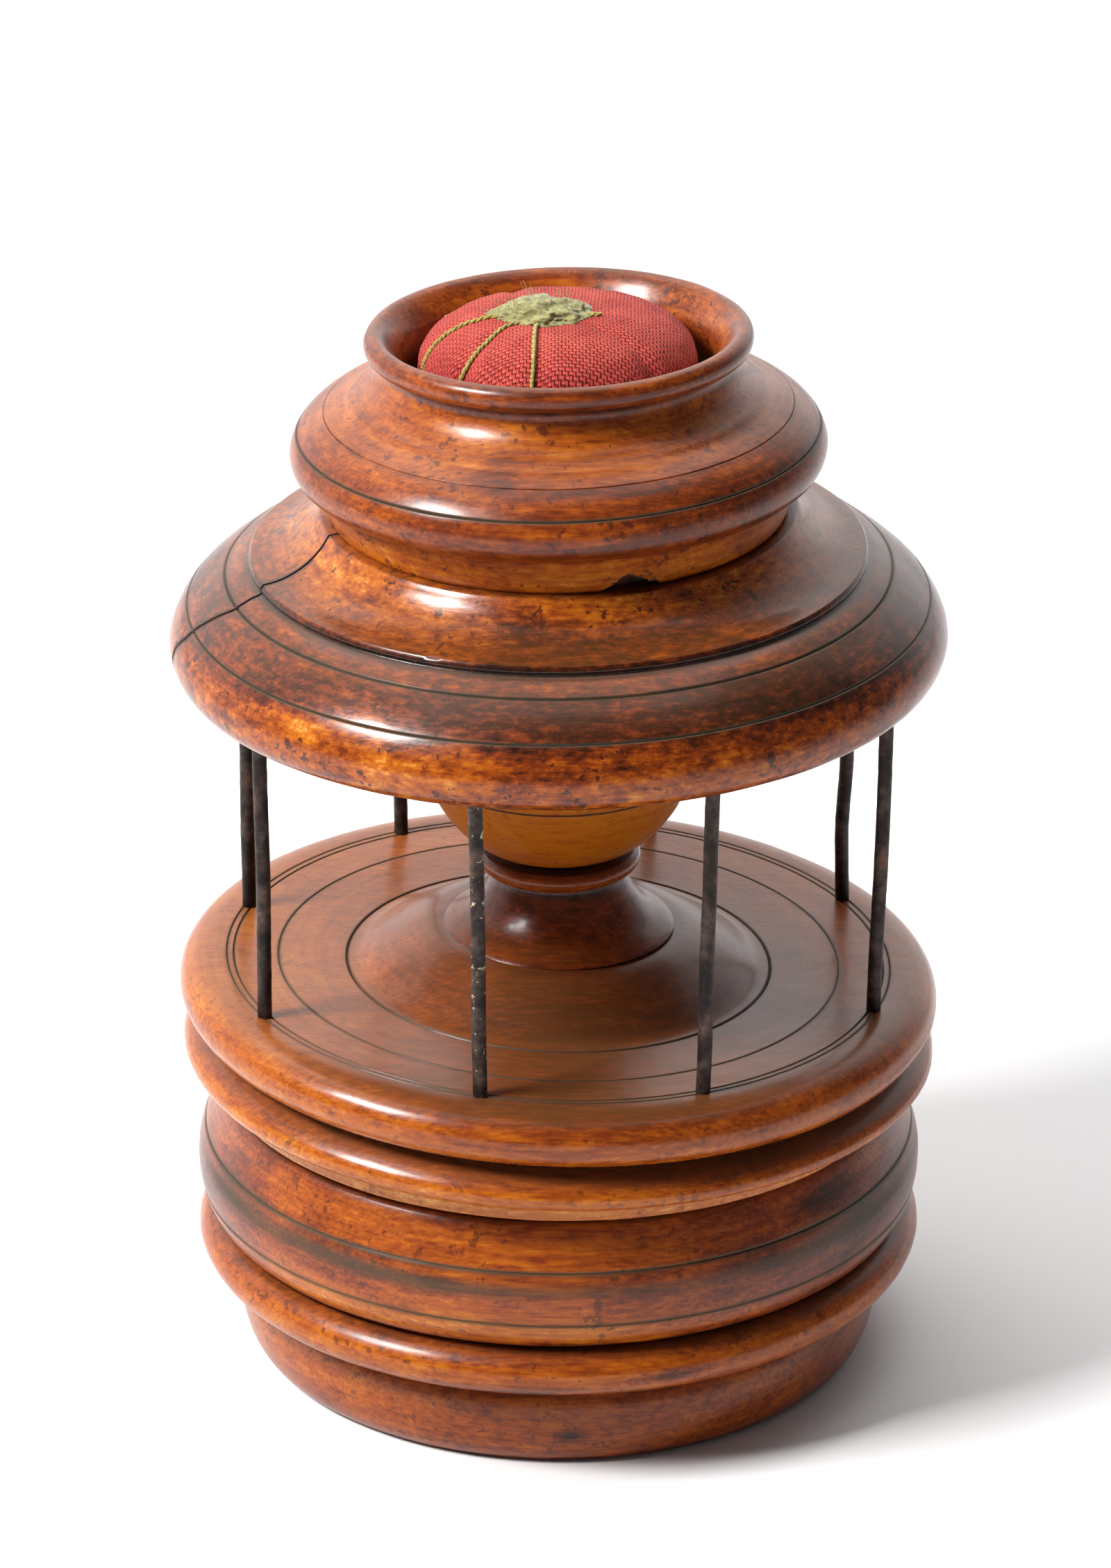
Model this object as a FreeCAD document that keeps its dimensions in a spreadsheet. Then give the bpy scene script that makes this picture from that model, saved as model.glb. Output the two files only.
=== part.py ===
import FreeCAD, Part
import math
import os
import Sketcher

# A turned fruitwood sewing stand. A shallow bowl carries a lift-out tray, the tray carries a
# platform lid with a pillar and eight wire spindles for cotton reels, a canopy caps the
# spindles, and the lid of the canopy's well carries a pincushion. Everything is turned about
# the Z axis; the origin is the middle of the foot, on the surface the stand rests on.
# Millimetres and degrees.

SIZES = {
    # bowl: the foot and the lowest bead
    "foot_radius": 43.0, "foot_round": 8.7, "foot_top": 12.2,
    "base_bead_radius": 48.5, "base_bead_level": 16.0, "base_bead_round": 3.2,
    "tray_seat": 19.6, "bowl_bore": 36.5, "bowl_floor": 4.6, "bowl_corner": 3.0,
    "bowl_mouth": 40.2, "bowl_ledge": 14.6,
    # tray: the bellied drum
    "tray_radius": 48.4, "tray_belly": 26.0, "tray_round_low": 7.72, "tray_round_high": 14.3,
    "lid_seat": 37.5, "tray_bore": 39.5, "tray_floor": 18.0, "tray_corner": 3.0,
    "spigot_radius": 40.0, "spigot_end": 15.0, "tray_collar": 42.0, "tray_collar_top": 41.5,
    # platform lid
    "flange_radius": 45.6, "flange_top": 40.2, "gap_level": 38.7,
    "low_bead_radius": 50.1, "low_bead_level": 42.6, "low_bead_round": 2.22,
    "cove_radius": 46.0, "cove_level": 46.7,
    "rim_radius": 50.5, "rim_level": 50.6, "rim_round": 3.56, "platform_top": 54.4,
    "mound_radius": 28.2, "mound_foot": 53.9, "mound_hollow": 16.0, "pillar_seat": 59.5,
    "lid_recess": 42.3, "recess_top": 42.0, "lid_bore": 39.0, "lid_ceiling": 46.5,
    # pillar
    "pillar_radius": 15.2, "pillar_flare": 8.6, "neck_radius": 8.8, "neck_level": 67.8,
    "neck_ring_radius": 10.9, "neck_ring_round": 1.6, "cup_seat": 70.8,
    "tenon_radius": 4.5, "low_tenon_end": 50.0, "high_tenon_end": 78.6, "socket_slack": 0.1,
    # spindles
    "spindle_circle": 43.8, "spindle_radius": 0.95, "tang_radius": 0.6, "spindle_foot": 48.6,
    "spindle_shoulder": 54.6, "spindle_end": 101.4, "cap_hole_slack": 0.85, "drive_slack": 0.02,
    "bearing_1": 28.3, "bearing_2": 73.3, "bearing_3": 119.6, "bearing_4": 162.8,
    "bearing_5": 208.9, "bearing_6": 256.6, "bearing_7": 295.2, "bearing_8": 341.9,
    # canopy
    "canopy_radius": 50.9, "canopy_level": 101.2, "canopy_base": 97.2, "canopy_round_low": 4.0,
    "canopy_round_high": 8.5, "canopy_shoulder": 40.3, "shoulder_level": 112.4,
    "cavetto_round": 13.5, "cap_seat_radius": 31.0, "cap_seat": 119.2,
    "well_collar": 27.7, "well_collar_top": 123.4, "well_bore": 24.5, "well_floor": 104.6,
    "well_corner": 2.0, "cup_hole": 16.6, "split_width": 0.5,
    # thimble cup
    "cup_radius": 19.6, "cup_belly": 90.0, "cup_boss": 7.6, "cup_lip": 9.0, "cup_round": 18.9,
    "cup_tube": 16.5, "cup_bore": 13.2, "cup_floor": 83.5, "cup_corner": 4.0,
    # pincushion lid
    "cap_flange_radius": 29.8, "cap_flange_top": 124.6, "cap_bead_radius": 34.8,
    "cap_bead_level": 127.6, "cap_bead_round": 2.9, "cap_step_radius": 27.2, "cap_step": 134.4,
    "cap_neck_radius": 22.8, "cap_neck_level": 139.4, "cap_neck_hollow": 6.6,
    "lip_radius": 25.2, "lip_level": 141.7, "lip_round": 1.6, "cap_top": 143.2,
    "dish_radius": 19.8, "dish_floor": 131.5, "dish_corner": 3.0, "dish_round": 8.4,
    "cap_recess": 28.0, "cap_recess_top": 124.0, "cap_bore": 24.0, "cap_ceiling": 128.5,
    "chip_turn": 17.8, "chip_wide": 3.5, "chip_narrow": 1.9, "chip_top": 121.2,
    # pincushion
    "pad_radius": 18.4, "pad_belly": 138.2, "pad_top": 145.0, "pad_foot_radius": 13.5,
    "pad_foot": 131.8, "pad_round_low": 6.63, "pad_round_high": 5.0, "pad_crown_round": 55.8,
    "pad_crown_radius": 14.72, "pad_crown_level": 143.02, "pad_tie_radius": 1.0,
    "thread_gap": 0.12, "thread_size": 0.8, "thread_sweep": 2.8,
    "thread_start": 6.8,
    "tuft_long": 6.5, "tuft_wide": 4.25, "tuft_thick": 0.95, "tuft_level": 146.1,
}

SPINDLES = range(1, 9)

# bearings of the pad's threads, in degrees from the +X axis
THREAD_BEARINGS = (190, 225, 262, 310, 350, 60, 115, 152)

# the canopy's drying split as points (x, y) from the collar to the rim
SPLIT_PATH = [(-25.9, -8.0), (-29.5, -9.3), (-37.0, -12.4), (-42.0, -13.2), (-48.3, -10.6), (-53.0, -4.8)]

doc = FreeCAD.newDocument("sewing_stand")
sheet = doc.addObject("Spreadsheet::Sheet", "Sizes")
for row, (word, value) in enumerate(SIZES.items(), start=1):
    sheet.set(f"A{row}", word)
    sheet.set(f"B{row}", str(value))
    sheet.setAlias(f"B{row}", word)
doc.recompute()

UP = FreeCAD.Vector(0, 0, 1)
ORIGIN = FreeCAD.Vector(0, 0, 0)
sub_parts = []


def cell(word, offset=0.0):
    """A driving dimension plus an offset, as the expression that binds a size to its cell."""
    return f"Sizes.{word} {'-' if offset < 0 else '+'} {abs(offset):g}"


def sketch_on(body, name, role, level=None, turn=None):
    """A sketch on one of the body's own origin planes, lifted to a level or turned about Z."""
    plane = next(f for f in body.Origin.OriginFeatures if f.Role == role)
    sketch = body.newObject("Sketcher::SketchObject", name)
    sketch.AttachmentSupport = (plane, [""])
    sketch.MapMode = "FlatFace"
    if turn:
        swing = FreeCAD.Rotation(FreeCAD.Vector(0, 1, 0), SIZES[turn])
        sketch.AttachmentOffset = FreeCAD.Placement(ORIGIN, swing)
        sketch.setExpression("AttachmentOffset.Rotation.Angle", cell(turn))
    if level:
        sketch.setExpression("AttachmentOffset.Base.z", cell(level))
    return sketch


def bind(sketch, kind, place, value, expression):
    """Add one dimension to a sketch and bind it to the sheet."""
    index = sketch.addConstraint(Sketcher.Constraint(kind, *place, value))
    sketch.setExpression(f"Constraints[{index}]", expression)


def draw_outline(sketch, corners):
    """Close an outline through its corners, anticlockwise.

    A corner is (radius word, offset, level word, offset) and, where a curve leads to it, the
    word for that curve's radius: plain for a round that stands out, with a minus in front for
    a hollow, and an offset if the curve has one. The word axis is radius 0, ground is level 0,
    and a radius word with a minus in front lies on the other side of the axis.
    """
    points = []
    for radius, dr, level, dz, *_ in corners:
        side = -1 if radius.startswith("-") else 1
        across = side * (SIZES.get(radius.lstrip("-"), 0.0) + dr)
        points.append(FreeCAD.Vector(across, SIZES.get(level, 0.0) + dz, 0))
    ends = []
    for number, corner in enumerate(corners):
        start, end = points[number - 1], points[number]
        if len(corner) == 4:
            ends.append((sketch.addGeometry(Part.LineSegment(start, end)), 1, 2))
            continue
        hollow = corner[4].startswith("-")
        word = corner[4].lstrip("-")
        growth = corner[5] if len(corner) > 5 else 0.0
        radius = SIZES[word] + growth
        chord = end - start
        left = FreeCAD.Vector(-chord.y, chord.x, 0).normalize()
        if hollow:
            left = -left
        centre = (start + end) * 0.5 + left * math.sqrt(radius ** 2 - (chord.Length / 2) ** 2)
        first, last = (end, start) if hollow else (start, end)
        angles = [math.atan2(p.y - centre.y, p.x - centre.x) for p in (first, last)]
        arc = Part.ArcOfCircle(Part.Circle(centre, UP, radius), *angles)
        index = sketch.addGeometry(arc)
        bind(sketch, "Radius", (index,), radius, cell(word, growth))
        ends.append((index, 2, 1) if hollow else (index, 1, 2))
    for number, (radius, dr, level, dz, *_) in enumerate(corners):
        index, _, finish = ends[number]
        following, begin, _ = ends[(number + 1) % len(ends)]
        sketch.addConstraint(Sketcher.Constraint("Coincident", index, finish, following, begin))
        if radius == "axis":
            sketch.addConstraint(Sketcher.Constraint("PointOnObject", index, finish, -2))
        else:
            across = cell(radius.lstrip("-"), dr)
            if radius.startswith("-"):
                across = f"-({across})"
            bind(sketch, "DistanceX", (-1, 1, index, finish), points[number].x, across)
        if level == "ground":
            sketch.addConstraint(Sketcher.Constraint("PointOnObject", index, finish, -1))
        else:
            bind(sketch, "DistanceY", (-1, 1, index, finish), points[number].y, cell(level, dz))


def turned(name, corners, sweep=None):
    """A body turned about Z from its outline, all the way round or through a bound angle."""
    body = doc.addObject("PartDesign::Body", name)
    sketch = sketch_on(body, name + "_outline", "XZ_Plane")
    draw_outline(sketch, corners)
    turning = body.newObject("PartDesign::Revolution", name + "_turning")
    turning.Profile = sketch
    turning.ReferenceAxis = (sketch, ["V_Axis"])
    turning.Angle = 360
    if sweep:
        turning.Midplane = True
        turning.setExpression("Angle", cell(sweep))
    doc.recompute()
    sub_parts.append(body)
    return body


def cut(body, sketch, depth=None, upwards=False, both_ways=False):
    """Cut a sketch into a body and make sure that the cut took material away."""
    before = body.Shape.Volume
    pocket = body.newObject("PartDesign::Pocket", sketch.Name + "_cut")
    pocket.Profile = sketch
    pocket.Reversed = upwards
    if both_ways:
        pocket.SideType = "Symmetric"
    if depth:
        pocket.setExpression("Length", depth)
    else:
        pocket.Type = "ThroughAll"
    doc.recompute()
    if body.Shape.Volume >= before:
        raise RuntimeError(f"{sketch.Name} cuts nothing from {body.Name}")


def spindle_place(number):
    """Where a spindle stands on the spindle circle: (expression, value) for X and for Y."""
    angle = math.radians(SIZES[f"bearing_{number}"])
    return [(f"Sizes.spindle_circle * {turn}(Sizes.bearing_{number} * 1 deg)",
             SIZES["spindle_circle"] * value)
            for turn, value in (("cos", math.cos(angle)), ("sin", math.sin(angle)))]


def spindle_holes(body, name, level, pin, slack, depth, upwards):
    """A ring of blind holes for pins on the spindle circle, drilled from a level of the body."""
    sketch = sketch_on(body, name, "XY_Plane", level=level)
    for number in SPINDLES:
        (across, x), (deep, y) = spindle_place(number)
        hole = sketch.addGeometry(Part.Circle(FreeCAD.Vector(x, y, 0), UP, SIZES[pin]))
        bind(sketch, "DistanceX", (-1, 1, hole, 3), x, across)
        bind(sketch, "DistanceY", (-1, 1, hole, 3), y, deep)
        bind(sketch, "Radius", (hole,), SIZES[pin], f"Sizes.{pin} + Sizes.{slack}")
    cut(body, sketch, depth=depth, upwards=upwards)


# The bowl: a turned foot and bead, hollow, with a rebated mouth that takes the tray's spigot.
base_bowl = turned("base_bowl", [
    ("axis", 0, "ground", 0),
    ("foot_radius", -3.1, "ground", 0),
    ("foot_radius", -1.8, "foot_top", 0, "foot_round"),
    ("base_bead_radius", -2.6, "base_bead_level", -3.2),
    ("base_bead_radius", -2.2, "base_bead_level", 3.0, "base_bead_round"),
    ("base_bead_radius", -3.9, "tray_seat", 0),
    ("bowl_mouth", 0, "tray_seat", 0),
    ("bowl_mouth", 0, "bowl_ledge", 0),
    ("bowl_bore", 0, "bowl_ledge", 0),
    ("bowl_bore", 0, "bowl_floor", 3.0),
    ("bowl_bore", -3.0, "bowl_floor", 0, "-bowl_corner"),
    ("axis", 0, "bowl_floor", 0),
])

# The tray: the bellied drum, with a spigot below and a collar above that centres the lid.
drum_tray = turned("drum_tray", [
    ("axis", 0, "spigot_end", 0),
    ("spigot_radius", 0, "spigot_end", 0),
    ("spigot_radius", 0, "tray_seat", 0),
    ("tray_radius", -3.4, "tray_seat", 0),
    ("tray_radius", 0, "tray_belly", 0, "tray_round_low"),
    ("tray_radius", -0.9, "tray_belly", 5.0, "tray_round_high"),
    ("tray_radius", -3.7, "lid_seat", 0),
    ("tray_collar", 0, "lid_seat", 0),
    ("tray_collar", 0, "tray_collar_top", 0),
    ("tray_bore", 0, "tray_collar_top", 0),
    ("tray_bore", 0, "tray_floor", 3.0),
    ("tray_bore", -3.0, "tray_floor", 0, "-tray_corner"),
    ("axis", 0, "tray_floor", 0),
])

# The platform lid: a flange over the tray's collar, two beads, and a flat top with a low mound.
platform_lid = turned("platform_lid", [
    ("axis", 0, "lid_ceiling", 0),
    ("lid_bore", 0, "lid_ceiling", 0),
    ("lid_bore", 0, "recess_top", 0),
    ("lid_recess", 0, "recess_top", 0),
    ("lid_recess", 0, "lid_seat", 0),
    ("flange_radius", 0, "lid_seat", 0),
    ("flange_radius", 0.3, "flange_top", 0),
    ("low_bead_radius", -1.9, "low_bead_level", -1.9),
    ("low_bead_radius", -1.9, "low_bead_level", 2.5, "low_bead_round"),
    ("cove_radius", 0, "cove_level", 0),
    ("rim_radius", -2.3, "rim_level", -3.4),
    ("rim_radius", -2.4, "platform_top", -0.5, "rim_round"),
    ("rim_radius", -4.0, "platform_top", 0),
    ("mound_radius", 0, "mound_foot", 0),
    ("pillar_radius", 1.3, "pillar_seat", 0, "-mound_hollow"),
    ("tenon_radius", 0.1, "pillar_seat", 0),
    ("tenon_radius", 0.1, "low_tenon_end", -0.2),
    ("axis", 0, "low_tenon_end", -0.2),
])
# The flange's lower edge is out of true, so that the lid stands a little open on one side.
wedge = sketch_on(platform_lid, "flange_wedge", "XZ_Plane")
draw_outline(wedge, [
    ("-flange_radius", 0.6, "lid_seat", -1.0),
    ("flange_radius", 0.6, "lid_seat", -1.0),
    ("flange_radius", 0.6, "lid_seat", 0),
    ("-flange_radius", 0.6, "gap_level", 0),
])
cut(platform_lid, wedge, both_ways=True)
spindle_holes(platform_lid, "spindle_seats", "platform_top", "tang_radius", "drive_slack",
              "Sizes.platform_top - Sizes.spindle_foot + 0.1", upwards=False)

# The pillar: a flared foot, a neck and a small ring, with a tenon at each end.
turned("pillar", [
    ("axis", 0, "low_tenon_end", 0),
    ("tenon_radius", 0, "low_tenon_end", 0),
    ("tenon_radius", 0, "pillar_seat", 0),
    ("pillar_radius", 0, "pillar_seat", 0),
    ("pillar_radius", -0.2, "pillar_seat", 0.8),
    ("neck_radius", 0, "neck_level", 0, "-pillar_flare"),
    ("neck_ring_radius", -0.9, "neck_level", 0.3),
    ("neck_ring_radius", -0.6, "cup_seat", 0, "neck_ring_round"),
    ("tenon_radius", 0, "cup_seat", 0),
    ("tenon_radius", 0, "high_tenon_end", 0),
    ("axis", 0, "high_tenon_end", 0),
])

# The spindles: steel wires on thinner tangs that are driven into the platform.
for number in SPINDLES:
    spindle = turned(f"spindle_{number}", [
        ("axis", 0, "spindle_foot", 0),
        ("tang_radius", 0, "spindle_foot", 0),
        ("tang_radius", 0, "spindle_shoulder", 0),
        ("spindle_radius", 0, "spindle_shoulder", 0),
        ("spindle_radius", 0, "spindle_end", -0.3),
        ("spindle_radius", -0.3, "spindle_end", 0),
        ("axis", 0, "spindle_end", 0),
    ])
    (across, _), (deep, _) = spindle_place(number)
    spindle.setExpression("Placement.Base.x", across)
    spindle.setExpression("Placement.Base.y", deep)

# The canopy: a bull-nosed disc and a cavetto, with a collared well in its top.
canopy = turned("canopy", [
    ("cup_hole", 0, "canopy_base", 0),
    ("canopy_radius", -6.9, "canopy_base", 0),
    ("canopy_radius", -3.2, "canopy_base", 0.1),
    ("canopy_radius", 0, "canopy_level", 0, "canopy_round_low"),
    ("canopy_radius", -3.7, "canopy_level", 7.0, "canopy_round_high"),
    ("canopy_shoulder", 0.9, "shoulder_level", -0.6),
    ("canopy_shoulder", 0, "shoulder_level", 0.2),
    ("canopy_shoulder", -0.3, "shoulder_level", 1.0),
    ("cap_seat_radius", 0, "cap_seat", 0, "-cavetto_round"),
    ("well_collar", 0, "cap_seat", 0),
    ("well_collar", 0, "well_collar_top", 0),
    ("well_bore", 0, "well_collar_top", 0),
    ("well_bore", 0, "well_floor", 2.0),
    ("well_bore", -2.0, "well_floor", 0, "-well_corner"),
    ("cup_hole", 0, "well_floor", 0),
])
spindle_holes(canopy, "spindle_caps", "canopy_base", "spindle_radius", "cap_hole_slack",
              "Sizes.spindle_end - Sizes.canopy_base + 0.6", upwards=True)
# A drying split runs from the well's collar out through the rim.
split = sketch_on(canopy, "drying_split", "XY_Plane", level="cap_seat")
edge = [(x, y, -0.5) for x, y in SPLIT_PATH] + [(x, y, 0.5) for x, y in reversed(SPLIT_PATH)]
places = [FreeCAD.Vector(x, y + side * SIZES["split_width"], 0) for x, y, side in edge]
for number, (x, y, side) in enumerate(edge):
    line = split.addGeometry(Part.LineSegment(places[number - 1], places[number]))
    bind(split, "DistanceX", (-1, 1, line, 2), places[number].x, f"{x}")
    bind(split, "DistanceY", (-1, 1, line, 2), places[number].y, f"{y} + {side} * Sizes.split_width")
for line in range(len(edge)):
    split.addConstraint(Sketcher.Constraint("Coincident", line, 2, (line + 1) % len(edge), 1))
cut(canopy, split)

# The thimble cup: its turned bowl hangs below the canopy, and its mouth opens in the well.
turned("thimble_cup", [
    ("tenon_radius", 0.15, "cup_seat", 0),
    ("cup_boss", 0, "cup_seat", 0),
    ("cup_boss", 0, "cup_seat", 0.9),
    ("cup_lip", 0, "cup_seat", 1.0),
    ("cup_radius", 0, "cup_belly", 0, "cup_round"),
    ("cup_radius", -0.2, "canopy_base", 0),
    ("cup_tube", 0, "canopy_base", 0),
    ("cup_tube", 0, "well_floor", 0),
    ("cup_bore", 0, "well_floor", 0),
    ("cup_bore", 0, "cup_floor", 4.0),
    ("cup_bore", -4.0, "cup_floor", 0, "-cup_corner"),
    ("axis", 0, "cup_floor", 0),
    ("axis", 0, "high_tenon_end", 0.9),
    ("tenon_radius", 0.15, "high_tenon_end", 0.9),
])

# The pincushion lid: a flange over the well's collar, a bead, a neck and a lipped dish.
pincushion_lid = turned("pincushion_lid", [
    ("axis", 0, "cap_ceiling", 0),
    ("cap_bore", 0, "cap_ceiling", 0),
    ("cap_bore", 0, "cap_recess_top", 0),
    ("cap_recess", 0, "cap_recess_top", 0),
    ("cap_recess", 0, "cap_seat", 0),
    ("cap_flange_radius", 0, "cap_seat", 0),
    ("cap_flange_radius", 1.6, "cap_flange_top", 0),
    ("cap_bead_radius", -1.6, "cap_bead_level", -2.4),
    ("cap_bead_radius", -0.9, "cap_bead_level", 2.4, "cap_bead_round"),
    ("cap_step_radius", 3.3, "cap_step", -1.4),
    ("cap_step_radius", 0, "cap_step", 0),
    ("cap_neck_radius", 0, "cap_neck_level", 0, "-cap_neck_hollow"),
    ("lip_radius", -1.5, "lip_level", -1.5),
    ("lip_radius", -1.2, "cap_top", 0, "lip_round"),
    ("lip_radius", -2.0, "cap_top", -0.2),
    ("dish_radius", 0, "dish_floor", 6.0, "dish_round"),
    ("dish_radius", 0, "dish_floor", 3.0),
    ("dish_radius", -3.0, "dish_floor", 0, "-dish_corner"),
    ("axis", 0, "dish_floor", 0),
])
# A chip is missing from the flange's lower edge.
chip = sketch_on(pincushion_lid, "flange_chip", "XZ_Plane", turn="chip_turn")
draw_outline(chip, [
    ("-chip_wide", 0, "cap_seat", -1.0),
    ("chip_wide", 0, "cap_seat", -1.0),
    ("chip_wide", 0, "cap_seat", 0),
    ("chip_narrow", 0, "chip_top", 0),
    ("-chip_narrow", 0, "chip_top", 0),
    ("-chip_wide", 0, "cap_seat", 0),
])
cut(pincushion_lid, chip, upwards=True)

# The pad: a stuffed ball of cloth that fills the dish and stands above its lip.
turned("pincushion_pad", [
    ("axis", 0, "pad_foot", 0),
    ("pad_foot_radius", 0, "pad_foot", 0),
    ("pad_radius", 0, "pad_belly", 0, "pad_round_low"),
    ("pad_crown_radius", 0, "pad_crown_level", 0, "pad_round_high"),
    ("pad_tie_radius", 0, "pad_top", 0, "pad_crown_round"),
    ("axis", 0, "pad_top", 0),
])

# The threads: eight embroidered ribs that lie over the pad from its crown to its belly.
near = SIZES["thread_gap"]
far = SIZES["thread_gap"] + SIZES["thread_size"]
crown_lean = math.asin(SIZES["pad_crown_radius"] / SIZES["pad_crown_round"])


def crown_drop(height):
    """How far below the pad's top a curve this far above the crown starts."""
    curve = SIZES["pad_crown_round"] + height
    return SIZES["pad_crown_round"] - math.sqrt(curve ** 2 - SIZES["thread_start"] ** 2)


for number, bearing in enumerate(THREAD_BEARINGS, start=1):
    thread = turned(f"thread_{number}", [
        ("thread_start", 0, "pad_top", -crown_drop(near)),
        ("pad_crown_radius", near * math.sin(crown_lean), "pad_crown_level",
         near * math.cos(crown_lean), "-pad_crown_round", near),
        ("pad_radius", near, "pad_belly", 0, "-pad_round_high", near),
        ("pad_radius", far, "pad_belly", 0),
        ("pad_crown_radius", far * math.sin(crown_lean), "pad_crown_level",
         far * math.cos(crown_lean), "pad_round_high", far),
        ("thread_start", 0, "pad_top", -crown_drop(far), "pad_crown_round", far),
    ], sweep="thread_sweep")
    thread.Placement = FreeCAD.Placement(ORIGIN, FreeCAD.Rotation(UP, bearing))

# The tuft: an oval patch of felted wool over the crown, where the threads meet.
tuft = doc.addObject("Part::Ellipsoid", "wool_tuft")
tuft.setExpression("Radius1", cell("tuft_thick"))
tuft.setExpression("Radius2", cell("tuft_long"))
tuft.setExpression("Radius3", cell("tuft_wide"))
tuft.setExpression("Placement.Base.z", cell("tuft_level"))
sub_parts.append(tuft)

doc.recompute()
for item in doc.Objects:
    if {"Invalid", "Error"} & set(item.State):
        raise RuntimeError(f"{item.Label} did not build: {item.State}")
for item in sub_parts:
    if item.Shape.isNull() or not item.Shape.isValid():
        raise RuntimeError(f"{item.Label} has no valid shape")

os.makedirs("parts", exist_ok=True)
for item in sub_parts:
    item.Shape.exportStep(f"parts/{item.Label}.step")
    box = item.Shape.optimalBoundingBox(False)
    print(f"{item.Label}: {item.Shape.Volume:.0f} mm3, z {box.ZMin:.2f} to {box.ZMax:.2f}")
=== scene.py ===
"""A turned fruitwood sewing stand: bowl, lift-out tray, platform with wire reel spindles,
canopy with a lidded well, and a pincushion in the lid. Z is the turning axis."""
import math

import bmesh
import bpy
from bpy.props import FloatProperty, FloatVectorProperty, IntProperty, PointerProperty
from mathutils import Matrix, Vector, geometry, noise
from mathutils.bvhtree import BVHTree


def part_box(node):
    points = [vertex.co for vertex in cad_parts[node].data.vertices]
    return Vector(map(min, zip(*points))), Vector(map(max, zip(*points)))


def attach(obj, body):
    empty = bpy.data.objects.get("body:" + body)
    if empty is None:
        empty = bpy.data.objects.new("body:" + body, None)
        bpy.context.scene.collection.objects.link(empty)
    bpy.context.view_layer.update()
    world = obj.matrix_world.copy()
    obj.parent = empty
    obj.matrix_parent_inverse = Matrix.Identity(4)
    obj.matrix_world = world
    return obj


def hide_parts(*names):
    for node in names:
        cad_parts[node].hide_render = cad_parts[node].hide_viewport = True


bl_info = {
    "name": "Turned Sewing Stand",
    "version": (1, 0, 0),
    "blender": (4, 5, 0),
    "location": "View3D > Sidebar > Sewing Stand",
    "description": "Builds a turned fruitwood sewing stand with reel spindles and a pincushion",
    "category": "Object",
}

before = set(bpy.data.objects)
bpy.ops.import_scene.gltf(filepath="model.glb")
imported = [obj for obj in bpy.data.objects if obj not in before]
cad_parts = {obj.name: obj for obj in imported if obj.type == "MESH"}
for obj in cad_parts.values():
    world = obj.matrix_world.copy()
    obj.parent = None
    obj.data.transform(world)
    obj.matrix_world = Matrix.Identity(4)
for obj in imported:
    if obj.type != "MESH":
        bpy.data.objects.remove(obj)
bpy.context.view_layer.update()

MM = 0.001
SHARP = True
SPINDLES = range(1, 9)


def colour(code):
    """An sRGB hex colour as the linear colour that shaders take."""
    parts = (int(code[i:i + 2], 16) / 255 for i in (1, 3, 5))
    return (*(p / 12.92 if p <= 0.04045 else ((p + 0.055) / 1.055) ** 2.4 for p in parts), 1.0)


def swatch(name, description, code):
    """A colour that a user can change."""
    return FloatVectorProperty(name=name, description=description, default=colour(code),
                               size=4, min=0.0, max=1.0, subtype="COLOR")


def bottom_of(node):
    """The height of a node's lower face."""
    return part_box(node)[0][2]


def within(value):
    """A share kept between 0 and 1."""
    return min(max(value, 0.0), 1.0)


# Outlines, from the bottom outwards and up. Each row is a radius and a height above the piece's
# own lower face in millimetres, then how worn and light the polish is there from 0, dark, to 1,
# bare, and SHARP where the tool left a crisp edge. The lowest tones, in the corners under the
# beads and where one piece meets the next, are painted shade.
BOWL = [
    (0, 0, 0.45), (39.6, 0, 0.45, SHARP), (40.4, 0.25, 0.35), (41.6, 1.5, 0.5), (42.5, 3.6, 0.5),
    (43, 6.6, 0.52), (42.6, 9.4, 0.5), (41.5, 11.7, 0.35), (41.1, 12.2, 0.1, SHARP),
    (45.4, 12.7, 0.3), (47.4, 13.8, 0.52), (48.4, 15.6, 0.6), (48.3, 17, 0.58), (47.2, 18.5, 0.5),
    (45.6, 19.3, 0.35), (44.7, 19.5, 0.12, SHARP), (40.2, 19.6, 0.5, SHARP),
    (40.2, 14.6, 0.5, SHARP), (36.5, 14.6, 0.5, SHARP), (36.5, 7.6, 0.5), (35.7, 5.5, 0.5),
    (33.5, 4.6, 0.5, SHARP), (0, 4.6, 0.5),
]
TRAY = [
    (0, 0, 0.5), (40, 0, 0.5, SHARP), (40, 4.55, 0.4, SHARP), (44.6, 4.65, 0.1, SHARP),
    (45.9, 5, 0.35), (47.1, 6.3, 0.55), (48, 8.4, 0.6), (48.4, 11, 0.56), (48.25, 13.6, 0.5),
    (47.5, 16.2, 0.56), (46.2, 19.4, 0.6), (45, 22.1, 0.5), (44.5, 22.5, 0.3, SHARP),
    (42, 22.5, 0.5, SHARP), (42, 26.5, 0.6, SHARP), (39.5, 26.5, 0.6, SHARP), (39.5, 6.2, 0.6),
    (38.7, 3.9, 0.55), (36.4, 3, 0.55, SHARP), (0, 3, 0.55),
]
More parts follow.
